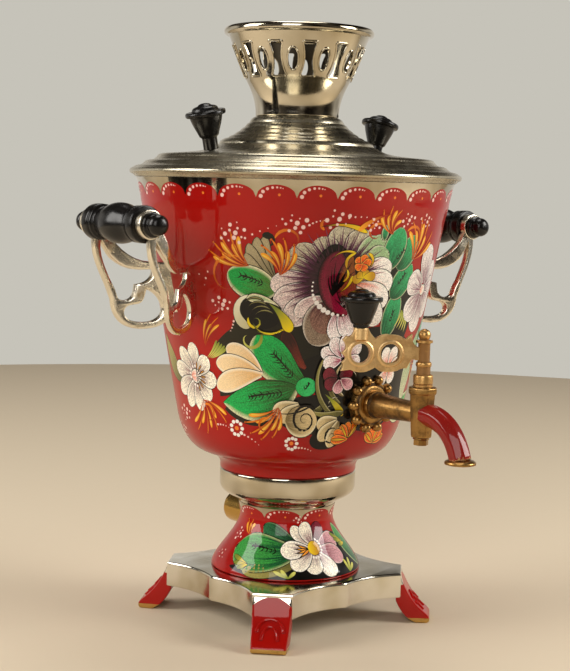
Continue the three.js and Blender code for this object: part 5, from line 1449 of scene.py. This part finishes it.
GOLD = Paint("f4cf22", "c9931c", ink=0.3)
GROUND = Paint("0a0806", "090706", ink=0.0)
BROWN = Paint("7a2a1a", "341510", "5a1a12", 1.0, 0.4)
BLACK_FEATHER = Paint("0e0609", "40202c", ink=0.0)
INK = Paint("100a08", "100a08", ink=0.0)
FLAME = Paint("fba526", "b42c0c", ink=0.0)
FLAME_HEART = Paint("fdd050", "e06a16", ink=0.0)
FLAME_LINE = Paint("ec8018", "a82a0c", ink=0.0)
ORANGE_PETAL = Paint("d6220c", "f67a20", "fcc04c", 1.0, 0.6)
PINK_DOT = Paint("f7cfc6", "f7cfc6", ink=0.0)
WHITE_DOT = Paint("fbf3ec", "fbf3ec", ink=0.0)
ORANGE_DOT = Paint("f0812a", "f0812a", ink=0.0)

Path = Callable[[float], Vector]
Spots = list[tuple[Vector, float]]


def bent(start: Sequence[float], end: Sequence[float], offset: float = 0.0) -> Path:
    """Draw a bowed path.

    Args:
        start: Its start.
        end: Its end.
        offset: How far its middle lies to the left of the straight way.

    Returns:
        The path, by the share of its length.
    """
    first, last = Vector(start), Vector(end)
    way = last - first
    pull = (first + last) / 2 + Vector((-way.y, way.x)).normalized() * 2 * offset
    return lambda t: bowed(first, pull, last, t)


def spiral(centre: Point, radii: Point, start: float, sweep: float) -> Path:
    """Return a path that turns about a centre from one radius to another, angles in degrees."""
    near, far = radii
    return lambda t: Vector(polar(math.radians(start + sweep * t), centre, near + (far - near) * t))


@dataclass
class Painting:
    """Flowers on a red wall, with a row of scallops over them.

    Places are given on the unrolled wall: millimetres to the right of the tap's line, at a radius of
    reach, and over the table.

    Attributes:
        coat: Thickness of one coat of paint.
        valley_at: Angle of one valley between scallops, in degrees from the tap's line to the left.
        lift: Height of the first coat over the wall.
        near_mm: Strokes that start further apart than this and the new one's length aren't compared.
        row_mm: Spacing of a stroke's points along it.
        column_mm: Their spacing across it.
        streak_step: Shift of the streaks from one stroke to the next.
        shape: All strokes as one surface.
        laid: Each stroke's coat, with places along it and its half widths there.
    """

    wall: Profile
    name: str
    reach: float
    coat: float
    scallops: int
    valley_at: float
    valley_z: float
    crest_z: float
    lift: float = 0.06
    near_mm: float = 60.0
    row_mm: float = 2.2
    column_mm: float = 2.6
    streak_step: float = 3.7
    scallop_dots: int = 7
    scallop_lift: float = 0.04
    overlap: float = 1.0
    shape: Mesh = field(default_factory=bmesh.new)
    laid: list[tuple[int, Spots]] = field(default_factory=list)

    def __post_init__(self) -> None:
        """Make the layers that the brush work reads."""
        self.layer = {name: self.shape.verts.layers.float_color.new(name) for name in LAYERS}

    def on_wall(self, x: float, z: float, lift: float) -> Vector:
        """Roll a point up with the wall.

        Args:
            x: Millimetres to the right of the tap's line.
            z: Height over the table.
            lift: Distance from the wall.

        Returns:
            The place in metres.
        """
        slope = self.wall.radius_at(z + 0.5) - self.wall.radius_at(z - 0.5)
        out = Vector((1, -slope)).normalized() * lift
        radius = self.wall.radius_at(z) + out.x
        swing = x / self.reach
        return Vector((math.sin(swing) * radius, -math.cos(swing) * radius, z + out.y)) * MM

    def stacked(self, spots: Spots) -> int:
        """Note where a stroke lies and count the coats of paint up to it.

        Args:
            spots: Places along the stroke, each with its half width.

        Returns:
            One more than the highest stroke that it crosses.
        """
        long = max(radius for _, radius in spots) + max((spots[0][0] - place).length for place, _ in spots)
        coat = 1
        for other, theirs in self.laid:
            if other < coat or (spots[0][0] - theirs[0][0]).length > long + self.near_mm:
                continue
            if any((a - b).length < r + s for a, r in spots[::2] for b, s in theirs):
                coat = other + 1
        self.laid.append((coat, spots))
        return coat

    def lay(self, form: Shape, paint: Paint, path: Path, half: float, frill: float = 0.0) -> None:
        """Lay one brush stroke.

        Args:
            form: Its outline.
            paint: Its colours.
            path: Its middle line.
            half: Half its full width.
            frill: Depth of the notches in its tip.
        """
        shares = [i / 12 for i in range(13)]
        spots = [(path(share), half * form.width(share)) for share in shares]
        length = sum((b - a).length for (a, _), (b, _) in zip(spots, spots[1:]))
        lift = self.lift + self.coat * self.stacked(spots)
        rows = max(8, math.ceil(length / self.row_mm) + 4)
        columns = 2 * math.ceil(half / self.column_mm) + 2
        made = bmesh.ops.create_grid(self.shape, x_segments=columns, y_segments=rows, size=1)["verts"]
        colours = {name: linear(getattr(paint, name)) for name in LAYERS[:3]}
        for vert in made:
            s, t = vert.co.x, (1 - math.cos(math.pi * (vert.co.y + 1) / 2)) / 2
            way = (path(min(t + 0.01, 1)) - path(max(t - 0.01, 0))).normalized()
            spread = half * form.width(t)
            here = path(t) + Vector((way.y, -way.x)) * s * spread
            here = here - way * frill * t ** 4 * (1 - math.cos(3 * math.pi * s)) / 2
            vert.co = self.on_wall(here.x, here.y, lift)
            for name, colour in colours.items():
                vert[self.layer[name]] = colour
            vert[self.layer["stroke"]] = (s, t, paint.streak, len(self.laid) * self.streak_step)
            vert[self.layer["margin"]] = ((1 - abs(s)) * spread, paint.rim_mm, paint.ink, paint.side)

    def strokes(self, form: Shape, *marks: tuple) -> None:
        """Lay strokes of one form: paint, start, end and half width of each, then its bow and frill if any."""
        for paint, start, end, half, bow, frill in ((*mark, 0.0, 0.0)[:6] for mark in marks):
            self.lay(form, paint, bent(start, end, bow), half, frill)

    def curls(self, *marks: tuple) -> None:
        """Lay comma strokes that curl: paint, centre, radii, first angle, sweep and half width of each."""
        for paint, centre, radii, start, sweep, half in marks:
            self.lay(COMMA, paint, spiral(centre, radii, start, sweep), half)

    def petals(self, centre: Point, tips: Iterable[Point], paint: Paint, half: float, inner: float,
               form: Shape = PETAL, frill: float = 0.0) -> None:
        """Lay strokes to several tips, each from an inner share of the way there from a centre."""
        for tip in tips:
            self.lay(form, paint, bent(Vector(centre).lerp(Vector(tip), inner), tip), half, frill)

    def feathers(self, root: Point, tips: Sequence[Point], half: float, bow: float = 2.0) -> None:
        """Lay a spray of flame-like strokes.

        Args:
            root: Where they spring from.
            tips: Their ends, one stroke each, with a shorter and a finer one between.
            half: Half the width of a stroke.
            bow: How far they bend to their left.
        """
        foot, ends = Vector(root), [Vector(tip) for tip in tips]
        for i, tip in enumerate(ends):
            end = foot.lerp(tip, 1 - 0.2 * (i % 2))
            self.lay(COMMA, FLAME, bent(end, root, -bow), half)
            self.lay(COMMA, FLAME_HEART, bent(end.lerp(foot, 0.06), root, -bow), half * 0.45)
        for first, second in zip(ends, ends[1:]):
            between = foot.lerp((first + second) / 2, 1.15)
            self.lay(COMMA, FLAME_LINE, bent(between, root, -bow * 1.3), half * 0.4)
            self.dot(between, half * 0.5, FLAME_LINE)

    def ring_feathers(self, centre: Point, paint: Paint, count: int, angles: Point, start: float,
                      lengths: Sequence[float], half: float) -> None:
        """Lay a round of fine strokes that point away from a centre.

        Args:
            centre: What they point away from.
            paint: Their colours.
            count: Number of strokes.
            angles: First angle and step in degrees.
            start: Distance of their starts from the centre.
            lengths: Lengths, used in turn.
            half: Half the width of a stroke.
        """
        for i in range(count):
            out = Vector(polar(math.radians(angles[0] + angles[1] * i)))
            root = Vector(centre) + out * start
            self.lay(COMMA, paint, bent(root, root + out * lengths[i % len(lengths)]), half)

    def dots(self, centre: Point, count: int, spread: float, size: float) -> None:
        """Strew pink dots round a centre, the largest in the middle."""
        for i in range(count):
            out = spread * math.sqrt((i + 0.3) / count)
            radius = size * (1 - 0.75 * ((i * 7) % count) / count)
            self.dot(polar(i * math.radians(GOLDEN_ANGLE), centre, out, out * 0.8), radius)

    def dot(self, place: Sequence[float], radius: float, paint: Paint = PINK_DOT) -> None:
        """Lay one round dot."""
        x, z = place
        stretch = radius * (self.reach / self.wall.radius_at(z))
        self.lay(DISC, paint, bent((x - stretch, z), (x + stretch, z)), radius)

    def beads(self, path: Path, count: int, sizes: Callable[[float], float], paint: Paint = PINK_DOT) -> None:
        """Lay a row of dots along a path, their radius by the share of the way."""
        for i in range(count):
            t = i / (count - 1)
            self.dot(path(t), sizes(t), paint)

    def flower_ring(self, centre: Point, count: int, out: float, size: float) -> None:
        """Lay a ring of white dots round an orange one."""
        self.beads(spiral(centre, (out, out), 0, 360 * (count - 1) / count), count, lambda t: size, WHITE_DOT)
        self.dot(centre, size * 1.15, ORANGE_DOT)

    def veins(self, root: Point, tip: Point, length: float, count: int) -> None:
        """Draw a leaf's feathered vein in ink.

        Args:
            root: Its start.
            tip: Its end.
            length: Length of the side veins.
            count: Number of pairs of them.
        """
        first, last = Vector(root), Vector(tip)
        way = (last - first).normalized()
        side = Vector((-way.y, way.x))
        self.strokes(COMMA, (INK, last, first, 0.6, 0.8))
        for i in range(count):
            at = first.lerp(last, (i + 0.7) / count)
            reach = length * (0.6 + 0.4 * math.sin(2.6 * i + 1))
            for hand in (-1, 1):
                end = at + way * reach * 0.7 + side * hand * reach * 0.6
                self.strokes(COMMA, (INK, at, end, 0.45, 0.4 * hand))

    def paint(self) -> None:
        """Lay the strokes in their order."""
        raise NotImplementedError

    def scallop_band(self) -> Mesh:
        """Build the band of red scallops and lay their graded dots."""
        rise, low = self.crest_z - self.valley_z, self.valley_z
        pitch, start = TURN / self.scallops, math.radians(self.valley_at)
        band = bmesh.new()
        bmesh.ops.create_grid(band, x_segments=self.scallops * 16, y_segments=6, size=1)
        for vert in band.verts:
            swing = (vert.co.x + 1) * math.pi
            share = (swing / pitch) % 1
            top = low + rise * math.sqrt(max(1 - (2 * share - 1) ** 2, 0))
            z = low - self.overlap + (top - low + self.overlap) * (vert.co.y + 1) / 2
            vert.co = self.on_wall((swing - start) * self.reach, z, self.scallop_lift)
        bmesh.ops.remove_doubles(band, verts=band.verts, dist=MM / 200)
        outward(band)
        across = pitch * self.reach * 0.38
        for i in range(self.scallops):
            middle = (pitch * (i + 0.5) - start) * self.reach
            for k in range(self.scallop_dots):
                swing = math.radians(4 + 30 * k - 1.9 * k ** 2)
                spot = (middle - across * math.cos(swing), low + 0.4 + rise * 0.74 * math.sin(swing))
                self.dot(spot, rise * (0.16 - 0.019 * k))
            self.dot((middle + across * 0.2, low + rise * 0.22), rise * 0.11, ORANGE_DOT)
        return band

    def build(self) -> None:
        """Paint the wall and put the scallops over it."""
        self.paint()
        band = self.scallop_band()
        piece(f"{self.name}_scallops", "enamel", [RED_ENAMEL], band)
        piece(f"{self.name}_painting", "enamel", [BRUSH_WORK], self.shape)


@dataclass
class BodyPainting(Painting):
    """The bouquet on the body's tapered wall."""

    name: str = "body"
    reach: float = 90.0
    coat: float = 0.012
    scallops: int = 26
    valley_at: float = 39.0
    valley_z: float = 283.0
    crest_z: float = 290.8

    def paint(self) -> None:
        """Lay the strokes in their order."""
        for step in (self.ground, self.leaves, self.poppy, self.scrolls, self.flowers, self.sprays):
            step()

    def ground(self) -> None:
        """Lay the dark ground behind the bouquet."""
        self.strokes(DISC, (GROUND, (-46, 172), (45, 168), 34), (GROUND, (-6, 264), (24, 194), 15),
                     (GROUND, (-82, 200), (-28, 205), 15), (GROUND, (-80, 186), (-38, 184), 17),
                     (GROUND, (-72, 148), (-14, 148), 13), (GROUND, (-46, 130), (-16, 136), 8))
        self.strokes(LEAF, (DARK_OLIVE, (-40, 190), (-118, 186), 15, -6),
                     (DARK_OLIVE, (-60, 214), (-102, 198), 11, -5))

    def poppy(self) -> None:
        """Paint the great flower: petals, feathered dark ring, crimson heart and white beads."""
        heart = (-36, 233)
        for centre, tips, paint, half, inner, frill in (
                (heart, ((-34, 268), (-20, 265), (-48, 260)), BEIGE, 9, 0.3, 1.0),
                (heart, ((-9, 259), (-3, 251)), PALE_GREEN, 9, 0.4, 0.8),
                (heart, ((-64, 253), (-71, 241)), BEIGE, 9.5, 0.22, 0.8),
                (heart, ((-76, 230), (-74, 218), (-67, 206)), ROSE, 8.8, 0.22, 0.6),
                ((-30, 232), ((1, 243), (4, 232), (2, 219), (-2, 206)), BLUSH, 9, 0.1, 0.6)):
            self.petals(centre, tips, paint, half, inner, frill=frill)
        self.ring_feathers(heart, PLUM_FEATHER, 96, (8, 2.5), 9, [11 + 2.6 * (i * 5 % 7) for i in range(7)],
                           0.75)
        self.strokes(DISC, (GROUND, (-27, 210), (-37, 256), 12.8, 5.5))
        self.ring_feathers(heart, BLACK_FEATHER, 56, (10, 3.6), 8, [9 + 2.0 * (i * 3 % 5) for i in range(5)],
                           1.1)
        self.strokes(PETAL, (ROSE, (-38, 221), (-60, 211), 6, -3))
        self.strokes(DISC, (DARK_PETAL, (-38, 222), (-50, 194), 13, 1.5))
        self.strokes(PETAL, (MAROON, (-37, 222), (-47, 202), 9, 1))
        self.petals((-33, 219), ((-35, 196), (-25, 198)), WHITE_PETAL, 6, 0.1, frill=0.5)
        self.strokes(DISC, (CRIMSON, (-28, 212.5), (-36.5, 252), 10.6, 5))
        self.strokes(LEAF, (HEART, (-25, 214), (-28, 251), 6.5, 4))
        for i in range(9):
            end = (-42 + i * 2.1, 238 + (i * 2 % 5) * 2.2)
            self.strokes(COMMA, (INK, (-38 + 0.5 * i, 224 + i * 0.7), end, 0.7, 1))
        round_heart = [polar(math.radians(150 - 24 * i), (-31, 219), 7) for i in range(9)]
        self.petals((-30, 217), round_heart, DUSKY, 0.7, 0, COMMA)
        self.strokes(BAND, (GOLD, (-26, 251), (-31, 241), 1.1, -3), (GOLD, (-31, 241), (-33, 233), 1.0, 2))
        self.strokes(COMMA, (GOLD, (-26, 251), (-42, 244), 0.9, -4), (GOLD, (-27, 237), (-36, 226), 1.3, 2))
        self.petals((-20, 236), ((-27, 234), (-24, 239), (-17, 240), (-12, 237)), GOLD, 3.2, 0.0)
        self.petals((-22, 244), ((-26, 248), (-20, 250), (-16, 246), (-19, 240), (-26, 241)), ORANGE_PETAL,
                    3.0, 0.0)
        self.curls((GOLD, (-20, 245), (6, 4), 80, -150, 1.2))
        self.beads(spiral(heart, (14.5, 22), 182, 112), 13,
                     lambda t: 0.55 + 1.2 * math.exp(-((t - 0.55) * 4) ** 2), WHITE_DOT)

    def leaves(self) -> None:
        """Paint the leaves, the green column on the right and the striped plume."""
        self.strokes(PETAL, *((PLUME, (-71, 230), tip, half, 3.5) for tip, half in (
            ((-78, 260), 4.2), ((-83, 259), 4.4), ((-88, 255), 4.6), ((-90, 249), 4.2))))
        self.curls((DARK_OLIVE, (-77, 256), (4.5, 2.5), 130, -200, 2.2))
        self.strokes(DISC, (LEAF_GREEN, (-72, 226), (-102, 237), 11, 1))
        self.veins((-79, 230), (-94, 235), 5.0, 8)
        self.strokes(PETAL, (PALE_GREEN, (-14, 246), (-10, 262), 6))
        self.strokes(DISC, *((DEEP_GREEN, root, tip, half, -1, 1.2) for root, tip, half in (
            ((4, 196), (10, 226), 8.5), ((4, 222), (19, 244), 9), ((6, 240), (18, 262), 8.5),
            ((-3, 240), (4, 267), 9))))
        self.strokes(DISC, (DEEP_GREEN, (-8, 258), (-8, 268), 3))
        for root, tip in (((3, 246), (9, 253)), ((8, 230), (14, 238)), ((7, 206), (9, 214))):
            self.veins(root, tip, 2.6, 4)
        self.strokes(PETAL, (BROWN, (-52, 178), (-66, 202), 5.5, 3),
                     (PALE_GREEN, (-68, 171), (-90, 184), 4.6, -2), (LEAF_LEFT, (-52, 167), (-85, 198), 13, 4))
        self.veins((-60, 171), (-74, 187), 6.5, 9)
        self.strokes(LEAF, (DARK_OLIVE, (-84, 176), (-115, 157), 9, -3),
                     (DARK_OLIVE, (-58, 160), (-112, 149), 11, 4),
                     (LEAF_LEFT, (-56, 166), (-113, 153), 13.5, 4))
        self.veins((-66, 162), (-92, 158), 6.0, 10)
        self.dot((-51, 166), 6.6, BRIGHT_GREEN)
        self.veins((-53, 164), (-49, 169), 2.2, 3)
        self.strokes(LEAF, (LEAF_GREEN, (26, 146), (62, 158), 9, -5))
        self.veins((34, 148), (50, 153), 4.0, 6)
        self.strokes(LEAF, (DEEP_GREEN, (38, 176), (66, 208), 9, -4, 0.6))
        self.veins((44, 184), (57, 198), 4.0, 6)
        self.strokes(LEAF, (PALE_GREEN, (44, 150), (54, 200), 9, 3), (OLIVE, (-158, 162), (-180, 192), 8, 3))
        for i in range(5):
            self.strokes(COMMA, (SPRIG, (18 + 1.5 * i, 214 - i), (12 + 3 * i, 203 - i), 1.1, 1),
                         (SPRIG, (-114 + 2 * i, 193 - i), (-124 + i, 181), 0.9, 1))

    def scrolls(self) -> None:
        """Paint the curls, shells and rolled scrolls."""
        self.strokes(DISC, (GROUND, (-98, 212), (-68, 212), 10))
        self.curls((CREAM, (-87, 213), (10, 10), -100, -200, 3.2))
        self.strokes(COMMA, (LEAF_GREEN, (-90, 221), (-68, 215), 3.2, 3))
        self.curls(*((OLIVE, (-80 - 2 * i, 206 + 2.6 * i), (9, 6), 40, 150, 0.9) for i in range(4)))
        self.curls((YELLOW, (-85, 207), (5, 1.5), 150, 360, 1.2))
        self.strokes(COMMA, *((YELLOW, (-66 - 2 * i, 203 - i), (-88, 199 + 4 * i), 0.9, 2 + i)
                              for i in range(4)))
        self.curls((SPRIG, (-90, 196), (9, 2), 20, -250, 1.2))
        self.strokes(COMMA, (YELLOW, (-63, 201), (-77, 219), 3.8, -2))
        self.strokes(PETAL, *((PEACH, (-82, 173), tip, 7.4, -2)
                              for tip in ((-107, 189), (-116, 178), (-117, 162))))
        self.curls(*((paint, (-18, 172), (radius, radius * 0.9), 250, -170, 2.0)
                     for radius, paint in ((27, OLIVE), (22, DARK_OLIVE), (18, OLIVE), (13, SHELL))))
        self.curls(*((CREAM, (-30 + 3 * i, 150 + 5 * i), (7, 3), 200 - 20 * i, -120, 0.7) for i in range(5)))
        self.strokes(COMMA, (YELLOW, (-22, 147), (-38, 162), 2.8, -1), (OLIVE, (-36, 156), (-80, 150), 2.6, 9),
                     (OLIVE, (-22, 150), (-60, 158), 2.6, 5))
        self.petals((-54, 156), ((-74, 150), (-69, 144)), SHELL, 5.4, 0.1)
        self.strokes(DISC, (SHELL, (-65, 144), (-42, 144), 10.6))
        self.curls((INK, (-51, 145), (10, 1.2), 40, 620, 0.9))
        self.strokes(COMMA, (INK, (-46, 155), (-78, 151), 0.6, 4))
        self.petals((-25, 146), ((-42, 141), (-40, 132), (-31, 127)), SHELL, 5.4, 0.1)
        self.curls((INK, (-30, 134), (6, 1), 60, 500, 0.7))

    def flowers(self) -> None:
        """Paint the small flowers."""
        side, near = (40, 226), (-137, 168)
        self.petals(side, ((58, 242), (61, 226), (58, 210), (38, 198), (22, 208), (19, 234), (38, 256)),
                    GREY_PETAL, 9, 0.15, frill=0.6)
        self.dot(side, 4, BLUSH)
        self.petals(near, ((-138, 190), (-154, 185), (-164, 172), (-162, 156), (-151, 147), (-136, 145),
                           (-124, 153), (-117, 166), (-123, 181)), CREAM_PETAL, 6.2, 0.12, frill=0.4)
        self.dot(near, 5, BLUSH)
        self.beads(spiral(near, (6.5, 6.5), 90, 180), 8, lambda t: 0.8, WHITE_DOT)
        self.strokes(COMMA, *((ORANGE_PETAL, polar(math.radians(-75 + 25 * i), near, 10), near, 0.8)
                              for i in range(7)))
        self.petals((-27, 184), ((-43, 190), (-36, 198), (-26, 200), (-15, 194), (-14, 182), (-41, 181)),
                    WHITE_PETAL, 5, 0.1, frill=0.4)
        self.petals((-29, 172), ((-40, 176), (-19, 178), (-38, 166)), WINE, 5, 0.1)
        self.petals((-28, 172), ((-29, 162), (-18, 166)), DUSKY, 4.4, 0.1)
        self.petals((14, 176), ((2, 182), (8, 190), (20, 190), (27, 180), (22, 167), (8, 166)), BLUSH, 5, 0.1)
        for centre, start in (((13, 127), 20), ((-16, 132), 60)):
            tips = [polar(math.radians(start + 30 * i), centre, 14, 11) for i in range(5)]
            self.petals(centre, tips, ORANGE_PETAL, 3.6, 0.0)
            self.petals(centre, tips[::2], GOLD, 1.1, 0.1)

    def sprays(self) -> None:
        """Paint the flame sprays, their curling lines and the strewn dots."""
        for root, tips, half, bow in (
                ((-88, 241), ((-94, 259), (-100, 258), (-105, 255), (-109, 251), (-111, 246)), 1.5, 2),
                ((-70, 236), ((-81, 249), (-77, 254), (-71, 256), (-65, 255), (-61, 250)), 1.5, -2),
                ((-2, 262), ((-12, 273), (-8, 277), (-2, 277), (4, 273)), 1.2, 2),
                ((18, 246), ((11, 264), (17, 269), (24, 269), (31, 265), (37, 257)), 1.5, -2),
                ((-70, 153), ((-92, 147), (-91, 140), (-85, 135), (-77, 134), (-70, 138)), 1.4, 2),
                ((-133, 153), ((-147, 137), (-138, 133), (-127, 135), (-118, 139), (-111, 145)), 1.3, 2),
                ((-124, 188), ((-111, 203), (-115, 207), (-121, 206)), 0.9, 2),
                ((50, 178), ((66, 164), (72, 169), (75, 176), (74, 184), (70, 191)), 1.4, -2)):
            self.feathers(root, tips, half, bow)
        self.curls(*((FLAME_LINE, *curl, 0.95) for curl in (
            ((-101, 233), (15, 5), 60, 250), ((-65, 257), (8, 4), 170, -250), ((-14, 263), (6, 3), 60, 250),
            ((16, 260), (8, 4), 150, -230), ((-44, 268), (4, 2), 250, -220), ((-80, 140), (6, 2), 60, 260),
            ((-128, 144), (7, 3), 120, -260))))
        self.strokes(COMMA, (GOLD, (-20, 263), (-48, 266), 1.7, -3), (FLAME, (-26, 264), (-5, 275), 1.5, 2))
        for centre, count, spread, size in (
                ((-97, 261), 13, 9, 1.5), ((-62, 268), 11, 8, 1.5), ((-39, 271), 9, 8, 1.5),
                ((-16, 268), 8, 5, 1.1), ((8, 271), 9, 6, 1.2), ((26, 270), 10, 7, 1.1),
                ((-108, 216), 10, 7, 1.4), ((-160, 141), 10, 8, 1.3), ((-176, 128), 9, 8, 1.2),
                ((-120, 232), 5, 8, 0.7), ((78, 158), 9, 7, 1.2), ((80, 198), 8, 6, 1.1)):
            self.dots(centre, count, spread, size)
        self.flower_ring((-103, 137), 9, 4.6, 1.25)
        self.flower_ring((-60, 129), 9, 4.2, 1.15)
        for start, end in (((-120, 138), (-110, 137)), ((-97, 133), (-86, 127)), ((-54, 126), (-44, 124)),
                           ((-90, 258), (-72, 266)), ((-54, 267), (-46, 270)), ((-32, 272), (-18, 272)),
                           ((-100, 206), (-104, 198))):
            self.beads(bent(start, end, 0.6), 5, lambda t: 0.75 - 0.45 * t)


@dataclass
class PedestalPainting(Painting):
    """The flower on the pedestal."""

    name: str = "pedestal"
    reach: float = 40.0
    coat: float = 0.02
    scallops: int = 8
    valley_at: float = 21.9
    valley_z: float = 71.2
    crest_z: float = 77.2

    def paint(self) -> None:
        """Lay the strokes in their order."""
        self.strokes(BAND, (GROUND, (-62, 39.1), (44, 39.1), 4.1))
        self.strokes(DISC, (GROUND, (-50, 50), (36, 48), 14))
        self.strokes(PETAL, (DARK_LEAF, (-18, 55), (-47, 66.5), 6.5, 1, 1.0),
                     (OLIVE, (-20, 45), (-52, 38), 5, 1), (FOOT_LEAF, (-20, 52), (-65, 51), 12.0, 2, 1.2))
        self.veins((-32, 51), (-52, 53), 4, 7)
        self.strokes(LEAF, (FOOT_LEAF, (28, 36.5), (18, 66), 7.5, -2))
        heart = (-8, 53)
        for tips, paint, half, inner in (
                (((-24, 66),), CREAM_PETAL, 4.6, 0.2), (((2, 68),), WINE, 6, 0.15),
                (((-14, 69),), CREAM_PETAL, 6, 0.15), (((15, 57), (14, 46)), DUSKY, 6.4, 0.15),
                (((2, 36), (-12, 38), (-24, 42), (-31, 52)), CREAM_PETAL, 5.8, 0.15)):
            self.petals(heart, tips, paint, half, inner)
        self.dot(heart, 4.4, GOLD)
        self.petals((-12, 52), ((-22, 56), (-23, 53), (-22, 50), (-20, 47)), ORANGE_PETAL, 1.2, 0.0, COMMA)
        self.beads(spiral(heart, (5.6, 5.6), 60, -170), 10, lambda t: 0.75, WHITE_DOT)
        for root, tips, paint, half in (
                ((24, 52), ((11, 60), (13, 56), (16, 52)), YELLOW, 1.6),
                ((-50, 42), ((-62, 46), (-60, 42), (-56, 39)), YELLOW, 1.5),
                ((-26, 36), ((-34, 40), (-30, 41), (-22, 40)), SPRIG, 1.0),
                ((14, 36), ((12, 44), (17, 44), (20, 40)), SPRIG, 1.1)):
            self.petals(root, tips, paint, half, 0.0)
        self.feathers((-56, 59), ((-64, 66), (-60, 68), (-55, 66)), 1.3)
        for centre, count, spread, size in (
                ((-69, 58), 8, 5, 0.9), ((-18, 71), 6, 4, 0.9), ((-76, 44), 6, 5, 0.7)):
            self.dots(centre, count, spread, size)


# Stage


@dataclass(frozen=True)
class Lamp:
    """A soft rectangular lamp that points at the samovar, in metres, watts and degrees.

    Its side is the angle from the camera to the left round the samovar's axis.
    """

    name: str
    side: float
    reach: float
    height: float
    size: float
    power: float
    narrow: float = 0.7
    aim_z: float = 0.2
    tint: Sequence[float] = (1.0, 0.97, 0.92)

    def hang(self, heading: float) -> None:
        """Hang the lamp, given the camera's heading in degrees."""
        lamp = bpy.data.lights.new(self.name, "AREA")
        lamp.shape = "RECTANGLE"
        lamp.size = self.size * self.narrow
        lamp.size_y = self.size
        lamp.energy = self.power
        lamp.color = self.tint
        at = math.radians(heading - self.side)
        spot = Vector((math.sin(at) * self.reach, -math.cos(at) * self.reach + AXIS_Y * MM, self.height))
        aim = (Vector((0, AXIS_Y * MM, self.aim_z)) - spot).to_track_quat("-Z", "Y")
        placed(self.name, lamp).matrix_world = Matrix.Translation(spot) @ aim.to_matrix().to_4x4()


@dataclass
class Studio:
    """The plain stage: a pale floor, soft lamps and the camera at the photograph's angle."""

    distance: float = 1000.0
    azimuth: float = -39.68237
    heading: float = -39.44257
    height: float = 287.8
    pitch: float = 5.5822
    roll: float = 1.5141
    lens: float = 79.945
    floor_r: float = 1450.0
    wall_code: str = "c6c3b9"
    wall_level: float = 0.8
    lamps: Sequence[Lamp] = (
        Lamp("window_left", 78, 1.5, 0.9, 1.1, 19), Lamp("window_right", -84, 1.5, 0.9, 0.9, 20),
        Lamp("front_fill", 12, 2.3, 1.1, 1.6, 21), Lamp("top", 180, 0.5, 2.1, 1.2, 13))

    def camera(self) -> None:
        """Set the camera that was fitted to the rims of the lid, the crown and the base."""
        data = bpy.data.cameras.new("camera")
        data.sensor_width = 36
        data.lens = self.lens
        swing = math.radians(self.azimuth)
        spot = Vector((math.sin(swing) * self.distance, AXIS_Y - math.cos(swing) * self.distance,
                       self.height))
        eye = placed("camera", data)
        eye.matrix_world = (Matrix.Translation(spot * MM) @ turn(self.heading, "Z")
                            @ turn(90 - self.pitch, "X") @ turn(self.roll, "Z"))
        bpy.context.scene.camera = eye

    def floor(self) -> None:
        """Lay the pale floor."""
        shape = bmesh.new()
        bmesh.ops.create_circle(shape, cap_ends=True, radius=self.floor_r * MM, segments=96)
        floor = placed("floor", closed_up(shape, "floor"))
        floor.data.materials.append(FLOOR.material())

    def room(self) -> None:
        """Make the room: pale to the camera, with softer and darker parts in reflections."""
        room = bpy.data.worlds.new("room")
        bpy.context.scene.world = room
        room.use_nodes = True
        tree = room.node_tree
        tree.nodes.clear()
        way = add_node(tree, "TexCoord").outputs["Generated"]
        swing = math.radians(self.heading)
        behind = add_node(tree, "VectorMath", {0: way, 1: (-math.sin(swing), math.cos(swing), 0)},
                          operation="DOT_PRODUCT").outputs["Value"]
        wall = add_node(tree, "MapRange", {"Value": behind, "From Min": 0.1, "From Max": 0.5, "To Max": 0.5})
        split = add_node(tree, "SeparateXYZ", {"Vector": way})
        low = add_node(tree, "MapRange", {"Value": split.outputs["Z"], "From Min": 0.26, "From Max": 0.42,
                                          "To Min": 1.0, "To Max": 0.0})
        lit_wall = add_node(tree, "Math", {0: wall, 1: low}, operation="MULTIPLY")
        band = add_node(tree, "TexNoise", {"Vector": way, "Scale": 2.4, "Detail": 0.0})
        level = add_node(tree, "Math", {0: band, 1: 0.85, 2: lit_wall}, operation="MULTIPLY_ADD")
        tone = add_node(tree, "ValToRGB", {"Fac": level},
                        ((0.34, "191511"), (0.9, "ece6dc"), (0.58, "5e574d")))
        shown = add_node(tree, "LightPath").outputs["Is Camera Ray"]
        seen = add_node(tree, "Background", {"Color": linear(self.wall_code), "Strength": 1.0})
        lit = add_node(tree, "Background", {"Color": tone, "Strength": self.wall_level})
        both = add_node(tree, "MixShader", {0: shown, 1: lit, 2: seen})
        add_node(tree, "OutputWorld", {"Surface": both})

    def build(self) -> None:
        """Set the stage."""
        self.camera()
        self.floor()
        for lamp in self.lamps:
            lamp.hang(self.heading)
        self.room()
        bpy.context.scene.view_settings.view_transform = "Standard"


def main() -> None:
    """Build the stage and the samovar's sub-assemblies in order."""
    logging.basicConfig(level=logging.INFO, format="%(message)s")
    Studio().build()
    reservoir, stand = Reservoir(), Stand()
    wall, foot = reservoir.line().tail(14), stand.pedestal_line().tail(4)
    for part in (Base(), stand, reservoir, Lid(), Handles(wall), Tap(wall), BodyPainting(wall),
                 PedestalPainting(foot)):
        part.build()
        LOG.info("built %s", type(part).__name__)


if __name__ == "__main__":
    main()
